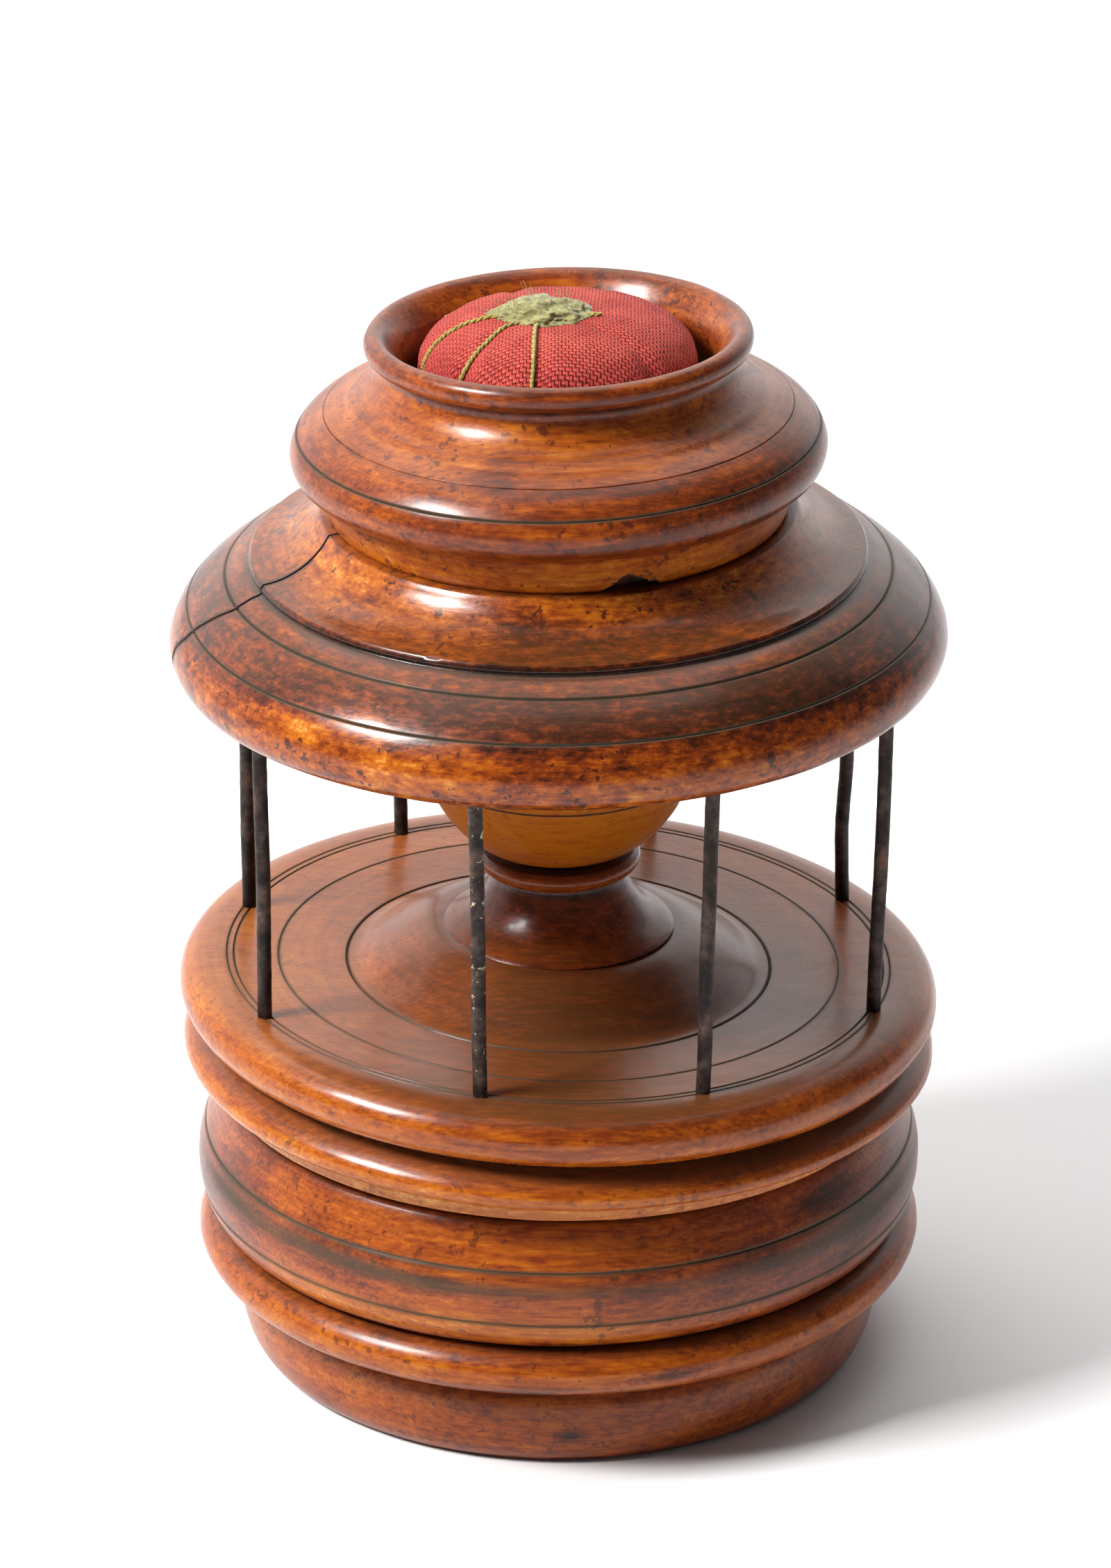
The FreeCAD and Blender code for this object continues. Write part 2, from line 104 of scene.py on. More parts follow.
LID = [
    (0, 10, 0.55), (39, 10, 0.55, SHARP), (39, 5.7, 0.5, SHARP), (42.3, 5.7, 0.5, SHARP),
    (42.3, 0, 0.75, SHARP), (45.55, 0, 0.72, SHARP), (45.75, 1.3, 0.82), (45.95, 2.7, 0.6, SHARP),
    (47.6, 2.95, 0.55), (49.3, 3.7, 0.66), (50.1, 5, 0.68), (49.7, 6.3, 0.6), (48.4, 7.5, 0.42),
    (46.6, 8.6, 0.3), (46, 9.2, 0.08, SHARP), (47.2, 9.4, 0.35), (49, 10.3, 0.62),
    (50.2, 11.9, 0.66), (50.5, 13.3, 0.6), (50, 14.9, 0.58), (48.7, 16.2, 0.56), (47, 16.8, 0.5),
    (45.6, 16.95, 0.5), (43.8, 16.9, 0.52), (37.3, 16.7, 0.54), (28.2, 16.4, 0.44),
    (26.6, 16.6, 0.42), (23.2, 18.7, 0.38), (20, 20.6, 0.36), (17.4, 21.7, 0.36),
    (15.6, 22, 0.3, SHARP), (4.6, 22, 0.5, SHARP), (4.6, 12.3, 0.5, SHARP), (0, 12.3, 0.5),
]
PILLAR = [
    (0, 0, 0.5), (4.5, 0, 0.5, SHARP), (4.5, 9.5, 0.5, SHARP), (15.3, 9.5, 0.2, SHARP),
    (15.35, 9.7, 0.4), (14.6, 10.3, 0.45), (12.3, 11.7, 0.42), (10.3, 14.1, 0.4),
    (9.2, 16.4, 0.36), (8.8, 17.8, 0.22, SHARP), (9.9, 18.1, 0.45), (10.8, 19.1, 0.55),
    (10.75, 20.1, 0.5),
    (10.2, 20.75, 0.3, SHARP), (4.5, 20.8, 0.2, SHARP), (4.5, 28.6, 0.5, SHARP), (0, 28.6, 0.5),
]
CUP = [
    (4.65, 0, 0.2, SHARP), (7.6, 0, 0.05, SHARP), (7.7, 0.9, 0.05, SHARP), (9.4, 1.05, 0.5, SHARP),
    (10.9, 1.55, 0.62), (13.3, 3.5, 0.68), (15.6, 6.4, 0.7), (17.2, 9.5, 0.7), (18.3, 12.5, 0.7),
    (19.2, 15.9, 0.72), (19.6, 19.2, 0.7), (19.5, 26.35, 0.55, SHARP), (16.5, 26.4, 0.5, SHARP),
    (16.5, 33.8, 0.6, SHARP), (13.2, 33.8, 0.6, SHARP), (13.2, 16.2, 0.6), (12.3, 13.8, 0.55),
    (9.6, 12.7, 0.55, SHARP), (0, 12.7, 0.55), (0, 8.7, 0.4), (4.65, 8.7, 0.4, SHARP),
]
CANOPY = [
    (16.6, 0, 0.5, SHARP), (43.5, 0, 0.5, SHARP), (46.6, 0.05, 0.42), (48.6, 0.5, 0.45),
    (50.2, 1.8, 0.6), (50.9, 3.7, 0.62), (50.75, 5.4, 0.6), (50, 7.3, 0.55), (48.6, 9.4, 0.38),
    (46.1, 11.7, 0.38), (43.6, 13.5, 0.4), (41.6, 14.7, 0.5), (40.7, 15.05, 0.2, SHARP),
    (40.3, 15.3, 0.02, SHARP), (40.45, 15.8, 0.15, SHARP), (40.35, 16.3, 0.45), (39.6, 16.55, 0.5),
    (37.2, 17.05, 0.55), (34.4, 18.4, 0.68), (32.3, 20.2, 0.72), (31.1, 21.95, 0.6, SHARP),
    (27.7, 22, 0.5, SHARP), (27.7, 26.2, 0.6, SHARP), (24.5, 26.2, 0.6, SHARP), (24.5, 9, 0.55),
    (24, 7.9, 0.5), (22.6, 7.4, 0.5, SHARP), (16.6, 7.4, 0.5, SHARP),
]
CAP = [
    (0, 9.3, 0.55), (24, 9.3, 0.55, SHARP), (24, 5.7, 0.5, SHARP), (28, 5.7, 0.5, SHARP),
    (28, 0, 0.6, SHARP), (29.75, 0, 0.55, SHARP), (30, 0.6, 0.72), (30.7, 3.1, 0.74),
    (31.3, 5.1, 0.55), (31.6, 5.5, 0.3, SHARP), (33.3, 5.8, 0.45), (34.5, 6.9, 0.58),
    (34.9, 8.5, 0.6), (34.5, 10.1, 0.56), (33.9, 11.1, 0.5), (32.4, 12.6, 0.6), (30.5, 13.8, 0.62),
    (28.6, 14.6, 0.68), (27.4, 15.1, 0.72), (26.7, 15.6, 0.6), (25.4, 16.3, 0.66),
    (23.9, 17.6, 0.7), (23, 19, 0.66), (22.8, 20.1, 0.5), (23.2, 20.9, 0.3),
    (23.6, 21.1, 0.35, SHARP), (24.7, 21.3, 0.52), (25.2, 22.3, 0.55), (24.9, 23.4, 0.52),
    (24, 24, 0.5), (23, 23.75, 0.5), (21.6, 22.3, 0.66), (20.5, 20.5, 0.6), (19.9, 18.2, 0.42),
    (19.8, 15.2, 0.3), (19, 13.1, 0.25), (16.8, 12.3, 0.25, SHARP), (0, 12.3, 0.25),
]

# Lines cut with the point of the skew: (radius, height, width, depth, dust to each side), in mm.
TRAY_LINES = [(48.3, 9.0, 0.5, 0.12, 0.5), (47.5, 16.4, 0.45, 0.15, 0.4)]
PLATFORM_LINES = [(28.2, 16.4, 0.55, 0.3, 0.3), (37.3, 16.7, 0.35, 0.15, 0.3),
                  (43.3, 16.9, 0.35, 0.2, 0.25), (44.2, 16.9, 0.3, 0.15, 0.25)]
CUP_LINES = [(18.3, 12.2, 0.4, 0.25, 0.15)]
CANOPY_LINES = [(43.6, 13.5, 0.5, 0.22, 0.35), (48.5, 9.4, 0.45, 0.2, 0.25)]
CAP_LINES = [(34.0, 11.0, 0.42, 0.2, 0.3), (30.5, 13.8, 0.25, 0.12, -0.06)]

# Where years of handling have darkened the polish or worn it, and where shade and sheen are
# painted: (bearing in degrees, height in mm, half width in degrees, half height in mm, amount).
# The broad first mark of each list darkens the right of the stand as painted shade.
BOWL_MARKS = [(330, 10, 55, 14, -0.04), (288, 16, 5, 0.9, -0.4), (262, 14, 9, 0.8, -0.2),
              (272, 5, 2, 0.7, -0.5), (235, 16, 30, 3, 0.08), (225, 6, 25, 4, 0.06)]
TRAY_MARKS = [(330, 12, 45, 14, -0.27), (215, 14, 25, 5, -0.1), (270, 7, 40, 2.5, 0.18),
              (225, 8, 18, 3, 0.1), (195, 12, 18, 10, -0.2), (320, 19, 7, 1.5, -0.3)]
TRAY_SMUDGES = [(228, 14.0, 17, 1.5, 0.7), (252, 13.8, 15, 1.4, 0.75), (277, 14.0, 14, 1.2, 0.6),
                (304, 13.8, 15, 1.3, 0.6), (328, 14.2, 15, 2.0, 0.7), (204, 14.4, 14, 1.5, 0.65),
                (20, 14, 40, 1.2, 0.5), (110, 14, 60, 1.2, 0.5)]
# on the platform the marks at bearings 270 and 275 darken the front of its top under the canopy as
# painted shade, and the mark at bearing 200 lightens the left of its top as a painted sheen
PLATFORM_MARKS = [(325, 8, 45, 10, -0.1), (205, 5, 30, 3, 0.05), (200, 17, 50, 2, 0.12),
                  (270, 19, 35, 3, -0.2), (275, 17, 45, 1.5, -0.2), (264, 13, 10, 1, -0.15)]
CANOPY_MARKS = [(340, 8, 45, 12, -0.16), (270, 11.5, 28, 2.2, -0.08), (300, 12, 30, 2.5, -0.05),
                (238, 9.5, 6, 1.6, 0.25), (228, 7.5, 5, 1.2, 0.3), (277, 18, 22, 2, -0.3),
                (262, 18.5, 6, 1.2, -0.2), (244, 5, 12, 2, 0.1), (318, 5.5, 16, 2, 0.12)]
CAP_MARKS = [(330, 10, 45, 10, -0.1), (255, 14.3, 6, 0.9, -0.25), (275, 13.4, 14, 0.5, -0.2),
             (292, 13, 9, 0.5, -0.18), (270, 7.5, 30, 1.5, -0.12), (270, 22, 20, 1.5, -0.08)]

# How each turned piece is finished: how much its tone is lifted, the shares of clouds, lathe
# streaks, ragged wear and fibres in it, its flecks, its fading with a painted sheen on faces that
# look up, and grime, then its roughness, relief in mm and coat of polish.
LOOK = ("lift", "cloud", "streak", "ragged", "fibre", "flecks", "faded_with_sheen", "grime", "roughness",
        "relief", "coat")
LOOKS = {
    "bowl": (0.08, 0.42, 0.45, 0.42, 0.45, 0.6, 0.2, 1.0, 0.3, 0.04, 0.08),
    "tray": (0.08, 0.4, 0.62, 0.34, 0.45, 0.6, 0.2, 0.9, 0.34, 0.06, 0.16),
    "platform": (0.09, 0.36, 0.42, 0.36, 0.5, 0.5, 0.4, 1.0, 0.27, 0.05, 0.16),
    "pillar": (0.04, 0.4, 0.4, 0.38, 0.48, 0.4, 0.3, 1.0, 0.27, 0.05, 0.16),
    "canopy": (-0.01, 0.62, 0.55, 1.15, 0.4, 0.9, 0.25, 1.0, 0.26, 0.06, 0.16),
    "cup": (0.0, 0.3, 0.45, 0.36, 0.55, 0.3, 0.0, 1.0, 0.36, 0.05, 0.16),
    "lid": (-0.02, 0.45, 0.55, 0.5, 0.45, 0.7, 0.15, 1.0, 0.3, 0.05, 0.16),
}


def smooth_run(points):
    """A fine curve through points (radius, height, tone), straight if there are only two."""
    curve = [points[0]]
    for number, (start, end) in enumerate(zip(points, points[1:])):
        before = points[max(number - 1, 0)]
        after = points[min(number + 2, len(points) - 1)]
        reach = (end.xy - start.xy).length / 3
        lead = start.xy + (end.xy - before.xy).normalized() * reach
        trail = end.xy - (after.xy - start.xy).normalized() * reach
        bend = geometry.interpolate_bezier(start.xy, lead, trail, end.xy, 25)
        curve += [Vector((*place.xy, start.z + (end.z - start.z) * share / 24))
                  for share, place in enumerate(bend)][1:]
    return curve


def stations_on(curve, lines, step, first_trim, last_trim):
    """Stations (radius, height, tone, line) along one run of an outline, its lines cut in."""
    lengths = [0.0]
    for a, b in zip(curve, curve[1:]):
        lengths.append(lengths[-1] + (b.xy - a.xy).length)
    most = lengths[-1] * 0.3
    first, last = min(first_trim, most), lengths[-1] - min(last_trim, most)
    count = max(1, math.ceil((last - first) / step))
    wanted = [first + (last - first) * k / count for k in range(count + 1)]
    cuts = []
    for radius, height, width, depth, dust in lines:
        miss, spot = min(((p.xy - Vector((radius, height))).length, s)
                         for p, s in zip(curve, lengths))
        if miss < 0.6:
            cuts.append((spot, width, depth, dust))
            wanted += [spot + width * k / 8 for k in range(-5, 6)]
    stations, index = [], 0
    for along in sorted(w for w in wanted if first <= w <= last):
        while index < len(lengths) - 2 and lengths[index + 1] < along:
            index += 1
        share = (along - lengths[index]) / (lengths[index + 1] - lengths[index])
        place = curve[index].lerp(curve[index + 1], share)
        course = (curve[index + 1].xy - curve[index].xy).normalized()
        line = 0.0
        for spot, width, depth, dust in cuts:
            off = abs(along - spot)
            if off < width / 2:
                sink = depth * math.cos(math.pi * off / width) ** 2
                place += Vector((-course.y * sink, course.x * sink, 0))
            line = max(line, 1 - off / (width / 2 + dust))
        stations.append((max(place.x, 0.0), place.y, place.z, line))
    return stations


def profile(rows, lines, step, ease=0.16):
    """Stations (radius, height, tone, line) of a whole outline with its crisp edges eased."""
    rows = rows + rows[:1] if rows[0][0] else rows
    stations, run, edge = [], [Vector(rows[0][:3])], None
    for row in rows[1:]:
        run.append(Vector(row[:3]))
        if len(row) > 3 or row is rows[-1]:
            trims = [ease if end.x else 0.0 for end in (run[0], run[-1])]
            more = stations_on(smooth_run(run), lines, step, *trims)
            if edge:
                around = [Vector(p) for p in (stations[-1], edge, more[0])]
                stations.append(tuple(around[0] * 0.25 + around[1] * 0.5 + around[2] * 0.25))
            stations += more
            edge, run = (*run[-1], 0.0), run[-1:]
    return stations


def lean(point, angle):
    """How far a point rises when its piece tips by an angle about the Y axis."""
    return -point.x * math.tan(angle)


def new_piece(name, bm, material, body, nodes, crisp=40.0):
    """Turns a finished bmesh into the object that stands for some nodes of the frame."""
    mesh = bpy.data.meshes.new(name)
    bm.to_mesh(mesh)
    bm.free()
    mesh.shade_smooth()
    mesh.set_sharp_from_angle(angle=math.radians(crisp))
    piece = bpy.data.objects.new(name, mesh)
    bpy.context.scene.collection.objects.link(piece)
    mesh.materials.append(material)
    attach(piece, body)
    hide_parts(*nodes)
    return piece


def turned(outline, bottom, steps, lines=(), step=0.7, wander=0.05):
    """Spins an outline about the Z axis. The mesh keeps what the finish needs at each vertex:
    the polish's tone with the painted shade in its hollows, how near it is to a cut line, and how
    far along the outline it lies."""
    bm = bmesh.new()
    tone, line, along = (bm.verts.layers.float.new(word) for word in ("tone", "line", "along"))
    ring, gone = [], 0.0
    # worn is the outline's tone: wear of the polish, and painted shade in the hollows under the
    # beads and where pieces meet
    for radius, height, worn, near, *_ in profile(outline, lines, step):
        vert = bm.verts.new((radius * MM, 0, bottom + height * MM))
        gone += (vert.co - ring[-1].co).length if ring else 0.0
        vert[tone], vert[line], vert[along] = worn, max(near, 0.0), gone
        ring.append(vert)
    edges = [bm.edges.new(pair) for pair in zip(ring, ring[1:])]
    if outline[0][0]:
        edges.append(bm.edges.new((ring[-1], ring[0])))
    # a quarter turn is spun and then copied three times, which is far quicker than a whole turn
    bmesh.ops.spin(bm, geom=ring + edges, cent=(0, 0, 0), axis=(0, 0, 1), dvec=(0, 0, 0),
                   angle=math.tau / 4, steps=steps // 4, use_duplicate=False)
    bmesh.ops.spin(bm, geom=bm.verts[:] + bm.edges[:] + bm.faces[:], cent=(0, 0, 0),
                   axis=(0, 0, 1), dvec=(0, 0, 0), angle=math.tau * 3 / 4, steps=3,
                   use_duplicate=True)
    bmesh.ops.remove_doubles(bm, verts=bm.verts, dist=1e-6)
    bmesh.ops.recalc_face_normals(bm, faces=bm.faces)
    bm.normal_update()
    for vert in bm.verts:
        push = noise.noise(vert.co / (9 * MM)) + 0.5 * noise.noise(vert.co / (3 * MM))
        vert.co += vert.normal * push * wander * MM * (1 - vert[line])
    return bm


def shade_marks(bm, bottom, marks, layer="tone"):
    """Darkens or lightens the polish around places, or lays dust there; the marks hold stains and
    wear,
    and also painted shade and painted sheen: (bearing in degrees, height above the piece's lower
    face in mm, half width in degrees, half height in mm, amount)."""
    level = bm.verts.layers.float[layer]
    for vert in bm.verts:
        bearing = math.degrees(math.atan2(vert.co.y, vert.co.x))
        for place, height, wide, tall, amount in marks:
            around = ((bearing - place + 180) % 360 - 180) / wide
            up = (vert.co.z - bottom - height * MM) / (tall * MM)
            fall = around * around + up * up
            if fall < 6:
                vert[level] += amount * math.exp(-fall)


def add(tree, kind, sockets=None, stops=(), **settings):
    """Adds one node. Sockets maps an input to a value or to the output that feeds it, and
    stops are the (position, colour) pairs of a ramp."""
    node = tree.nodes.new(kind)
    for word, value in settings.items():
        setattr(node, word, value)
    for place, value in (sockets or {}).items():
        if isinstance(value, bpy.types.NodeSocket):
            tree.links.new(value, node.inputs[place])
        else:
            node.inputs[place].default_value = value
    if stops:
        marks = node.color_ramp.elements
        while len(marks) < len(stops):
            marks.new(0.5)
        for mark, (position, paint) in zip(marks, stops):
            mark.position, mark.color = position, paint
    return node


def new_material(name):
    """An empty material with its shader and output: (material, tree, shader)."""
    material = bpy.data.materials.new(name)
    material.use_nodes = True
    tree = material.node_tree
    tree.nodes.clear()
    shader = add(tree, "ShaderNodeBsdfPrincipled")
    add(tree, "ShaderNodeOutputMaterial", {"Surface": shader.outputs["BSDF"]})
    return material, tree, shader


def polished_wood(word, finish, stops=None):
    """Fruitwood turned on a lathe, stained and French polished long ago. The polish is a deep
    red brown where it is whole and wears through in ragged patches to orange wood on what is
    handled; the tool leaves faint streaks round the axis, the fibres run straight across."""
    kind = "fruitwood" if stops is None else "boxwood"
    material, tree, shader = new_material(f"polished_{kind}_{word}")
    look = dict(zip(LOOK, LOOKS[word]))
    place = add(tree, "ShaderNodeTexCoord").outputs["Object"]
    facing = add(tree, "ShaderNodeTexCoord").outputs["Normal"]
    tone, line, along = (add(tree, "ShaderNodeAttribute", attribute_name=word).outputs["Fac"]
                         for word in ("tone", "line", "along"))
    # streaks left by the lathe, 0.9 mm wide and some 9 mm long round the axis
    wide = add(tree, "ShaderNodeVectorMath", {0: place, 1: (110, 110, 0)}, operation="MULTIPLY")
    deep = add(tree, "ShaderNodeMath", {0: along, 1: 1100}, operation="MULTIPLY")
    deep = add(tree, "ShaderNodeCombineXYZ", {"Z": deep.outputs[0]})
    swirl = add(tree, "ShaderNodeVectorMath", {0: wide.outputs[0], 1: deep.outputs[0]},
                operation="ADD")
    streaks = add(tree, "ShaderNodeTexNoise", {"Vector": swirl.outputs[0], "Scale": 1.0,
                                               "Detail": 4.0, "Roughness": 0.62})
    # clouds of wear about 9 mm across, ragged at about 1.5 mm
    cloud = add(tree, "ShaderNodeTexNoise", {"Vector": place, "Scale": 115.0, "Detail": 3.0,
                                             "Roughness": 0.6, "Distortion": 0.4})
    wear = add(tree, "ShaderNodeVectorMath", {0: swirl.outputs[0], 1: (4.5, 4.5, 0.75)},
               operation="MULTIPLY")
    ragged = add(tree, "ShaderNodeTexNoise", {"Vector": wear.outputs[0], "Scale": 1.0,
                                              "Detail": 5.0, "Roughness": 0.7})
    # fibres 6 mm long and 0.4 mm thick that run across the stand, a little askew
    askew = add(tree, "ShaderNodeMapping", {"Vector": place, "Rotation": (0, 0.12, 0.3),
                                            "Scale": (170, 2400, 2400)}, vector_type="POINT")
    fibre = add(tree, "ShaderNodeTexNoise", {"Vector": askew.outputs[0], "Scale": 1.0,
                                             "Detail": 2.0, "Roughness": 0.55})
    level = add(tree, "ShaderNodeMath", {0: tone, 1: look["lift"]}).outputs[0]
    for pattern, share in ((cloud, look["cloud"]), (streaks, look["streak"]),
                           (ragged, look["ragged"]), (fibre, look["fibre"])):
        centred = add(tree, "ShaderNodeMath", {0: pattern.outputs["Fac"], 1: 0.5},
                      operation="SUBTRACT")
        level = add(tree, "ShaderNodeMath", {0: centred.outputs[0], 1: share, 2: level},
                    operation="MULTIPLY_ADD").outputs[0]
    body = add(tree, "ShaderNodeValToRGB", {"Fac": level}, stops=stops or wood_stops(finish))
    # purple-brown flecks of old polish, 1 mm or so, that lie in clusters
    speck = add(tree, "ShaderNodeTexNoise", {"Vector": place, "Scale": 800.0, "Detail": 3.0,
                                             "Roughness": 0.6})
    crowd = add(tree, "ShaderNodeTexNoise", {"Vector": place, "Scale": 160.0, "Detail": 2.0})
    speck = add(tree, "ShaderNodeMath", {0: crowd.outputs["Fac"], 1: 0.45,
                                         2: speck.outputs["Fac"]}, operation="MULTIPLY_ADD")
    speck = add(tree, "ShaderNodeMapRange", {"Value": speck.outputs[0], "From Min": 0.83,
                                             "From Max": 0.9, "To Max": look["flecks"]},
                interpolation_type="SMOOTHSTEP")
    flecked = add(tree, "ShaderNodeMix", {0: speck.outputs[0], 6: body.outputs[0],
                                          7: finish.fleck}, data_type="RGBA")
    # faces that look up have faded and hold a little dust, and are greyed and lightened as a
    # painted sheen
    up = add(tree, "ShaderNodeSeparateXYZ", {0: facing})
    up = add(tree, "ShaderNodeMapRange", {"Value": up.outputs["Z"], "From Min": 0.6,
                                          "From Max": 1.0, "To Max": look["faded_with_sheen"]},
             interpolation_type="SMOOTHSTEP")
    faded_with_sheen = add(tree, "ShaderNodeMix", {0: up.outputs[0], 6: flecked.outputs[2],
                                        7: finish.faded_with_sheen}, data_type="RGBA")
    # dust and old wax in the cut lines and the hollows beside them
    grime = add(tree, "ShaderNodeMath", {0: ragged.outputs["Fac"], 1: 0.5, 2: line},
                operation="MULTIPLY_ADD")
    grime = add(tree, "ShaderNodeMapRange", {"Value": grime.outputs[0], "From Min": 0.3,
                                             "From Max": 1.0, "To Max": look["grime"]},
                interpolation_type="SMOOTHSTEP")
    grime = add(tree, "ShaderNodeMath", {0: grime.outputs[0], 1: line}, operation="MULTIPLY",
                use_clamp=True)
    paint = add(tree, "ShaderNodeMix", {0: grime.outputs[0], 6: faded_with_sheen.outputs[2],
                                        7: finish.dust}, data_type="RGBA")
    gloss, height = look["roughness"] - 0.08, streaks.outputs["Fac"]
    for pattern, share in ((ragged.outputs["Fac"], 0.16), (up.outputs[0], 0.12),
                           (grime.outputs[0], 0.35)):
        gloss = add(tree, "ShaderNodeMath", {0: pattern, 1: share, 2: gloss},
                    operation="MULTIPLY_ADD").outputs[0]
    for pattern, share in ((fibre, 0.35), (ragged, 0.5)):
        height = add(tree, "ShaderNodeMath", {0: pattern.outputs["Fac"], 1: share, 2: height},
                     operation="MULTIPLY_ADD").outputs[0]
    relief = add(tree, "ShaderNodeBump", {"Height": height, "Strength": 0.5,
                                          "Distance": look["relief"] * MM})
    link_to(tree, shader, Base_Color=paint.outputs[2], Roughness=gloss,
            Normal=relief.outputs[0])
    shader.inputs["Coat Weight"].default_value = look["coat"]
    shader.inputs["Coat Roughness"].default_value = 0.14
    shader.inputs["IOR"].default_value = 1.5
    shader.inputs["Specular IOR Level"].default_value = 0.32
    return material


def raw_wood(name, finish):
    """Bare wood inside a crack or a chip, quite dull; its dark colour is painted shade inside the
    narrow split and the chip.
    """
    material, _, shader = new_material(name)
    shader.inputs["Base Color"].default_value = finish.deep
    shader.inputs["Roughness"].default_value = 0.8
    return material


def link_to(tree, shader, **outputs):
    """Links outputs to the shader's inputs; an underscore stands for a space."""
    for word, output in outputs.items():
        tree.links.new(output, shader.inputs[word.replace("_", " ")])


def old_steel(finish):
    """Drawn steel wire gone brown: a thin dark oxide that rusts in patches and rubs bare, with
    pale flakes of old lacquer."""
    material, tree, shader = new_material("oxidised_steel_wire")
    place = add(tree, "ShaderNodeTexCoord").outputs["Object"]
    patch = add(tree, "ShaderNodeTexNoise", {"Vector": place, "Scale": 300.0, "Detail": 5.0,
                                             "Roughness": 0.7})
    body = add(tree, "ShaderNodeValToRGB", {"Fac": patch.outputs["Fac"]},
               stops=[(0.35, finish.oxide), (0.6, finish.steel), (0.78, finish.rust)])
    flake = add(tree, "ShaderNodeTexNoise", {"Vector": place, "Scale": 700.0, "Detail": 4.0,
                                             "Roughness": 0.75})
    flaky = add(tree, "ShaderNodeAttribute", attribute_name="flaky").outputs["Fac"]
    flake = add(tree, "ShaderNodeMath", {0: flaky, 1: 0.1, 2: flake.outputs["Fac"]},
                operation="MULTIPLY_ADD")
    flake = add(tree, "ShaderNodeMapRange", {"Value": flake.outputs[0], "From Min": 0.69,
                                             "From Max": 0.74}, interpolation_type="SMOOTHSTEP")
    paint = add(tree, "ShaderNodeMix", {0: flake.outputs[0], 6: body.outputs[0],
                                        7: finish.flake}, data_type="RGBA")
    gloss = add(tree, "ShaderNodeMapRange", {"Value": patch.outputs["Fac"], "To Min": 0.35,
                                             "To Max": 0.75})
    metal = add(tree, "ShaderNodeMapRange", {"Value": patch.outputs["Fac"], "From Min": 0.45,
                                             "From Max": 0.6, "To Min": 0.7, "To Max": 0.1})
    relief = add(tree, "ShaderNodeBump", {"Height": patch.outputs["Fac"], "Strength": 0.6,
                                          "Distance": 0.08 * MM})
    link_to(tree, shader, Base_Color=paint.outputs[2], Roughness=gloss.outputs[0],
            Metallic=metal.outputs[0], Normal=relief.outputs[0])
    return material


def woven_cloth(finish):
    """Turkey-red cotton in a plain weave: rounded threads 0.45 mm apart that pass over and under
    each other, faded to salmon on their crowns and deep crimson where the colour has held; the
    weave also lightens each crown as a painted highlight and darkens between the threads as
    painted shade."""
    material, tree, shader = new_material("turkey_red_cotton")
    uv = add(tree, "ShaderNodeUVMap", uv_map="weave").outputs["UV"]
    place = add(tree, "ShaderNodeTexCoord").outputs["Object"]
    # the threads wander a little: the pad was stuffed and handled
    drift = add(tree, "ShaderNodeTexNoise", {"Vector": uv, "Scale": 0.35, "Detail": 2.0})
    drift = add(tree, "ShaderNodeVectorMath", {0: drift.outputs["Color"], 1: (0.5, 0.5, 0.5)},
                operation="SUBTRACT")
    drift = add(tree, "ShaderNodeVectorMath", {0: drift.outputs[0], 1: (0.9, 0.9, 0.0), 2: uv},
                operation="MULTIPLY_ADD")
    across = add(tree, "ShaderNodeSeparateXYZ", {0: drift.outputs[0]})
    crowns, cells = [], []
    for axis in "XY":
        turn = add(tree, "ShaderNodeMath", {0: across.outputs[axis], 1: math.pi},
                   operation="MULTIPLY")
        wave = add(tree, "ShaderNodeMath", {0: turn.outputs[0]}, operation="SINE")
        crowns.append(add(tree, "ShaderNodeMath", {0: wave.outputs[0]},
                          operation="ABSOLUTE").outputs[0])
        cells.append(add(tree, "ShaderNodeMath", {0: across.outputs[axis]},
                         operation="FLOOR").outputs[0])
    # one thread is on top in every other cell
    cell = add(tree, "ShaderNodeMath", {0: cells[0], 1: cells[1]}, operation="ADD")
    over = add(tree, "ShaderNodeMath", {0: cell.outputs[0], 1: 2.0}, operation="FLOORED_MODULO")
    weft = add(tree, "ShaderNodeMath", {0: crowns[1], 1: 0.75}, operation="POWER")
    warp = add(tree, "ShaderNodeMath", {0: crowns[0], 1: 0.8}, operation="MULTIPLY")
    weave = add(tree, "ShaderNodeMix", {0: over.outputs[0], 2: weft.outputs[0],
                                        3: warp.outputs[0]}, data_type="FLOAT")
    slub = add(tree, "ShaderNodeTexNoise", {"Vector": drift.outputs[0], "Scale": 0.9,
                                            "Detail": 4.0, "Roughness": 0.7})
    fade = add(tree, "ShaderNodeTexNoise", {"Vector": place, "Scale": 130.0, "Detail": 3.0,
                                            "Roughness": 0.6})
    # the weave lightens the threads' crowns as a painted highlight and darkens between them as
    # painted shade; slubs and fading vary the dye
    level = -0.42
    for pattern, share in ((weave.outputs[0], 0.62), (slub.outputs["Fac"], 0.4),
                           (fade.outputs["Fac"], 0.7)):
        level = add(tree, "ShaderNodeMath", {0: pattern, 1: share, 2: level},
                    operation="MULTIPLY_ADD").outputs[0]
    body = add(tree, "ShaderNodeValToRGB", {"Fac": level},
               stops=[(0.12, finish.cloth_deep_and_shaded), (0.5, finish.cloth), (0.85, finish.cloth_faded_and_lit)])
    height = add(tree, "ShaderNodeMath", {0: slub.outputs["Fac"], 1: 0.4,
                                          2: weave.outputs[0]}, operation="MULTIPLY_ADD")
    relief = add(tree, "ShaderNodeBump", {"Height": height.outputs[0], "Strength": 1.0,
                                          "Distance": 0.2 * MM})
    link_to(tree, shader, Base_Color=body.outputs[0], Normal=relief.outputs[0])
    shader.inputs["Roughness"].default_value = 0.85
    shader.inputs["Sheen Weight"].default_value = 0.08
    shader.inputs["Sheen Roughness"].default_value = 0.5
    shader.inputs["Sheen Tint"].default_value = finish.cloth_faded_and_lit
    return material


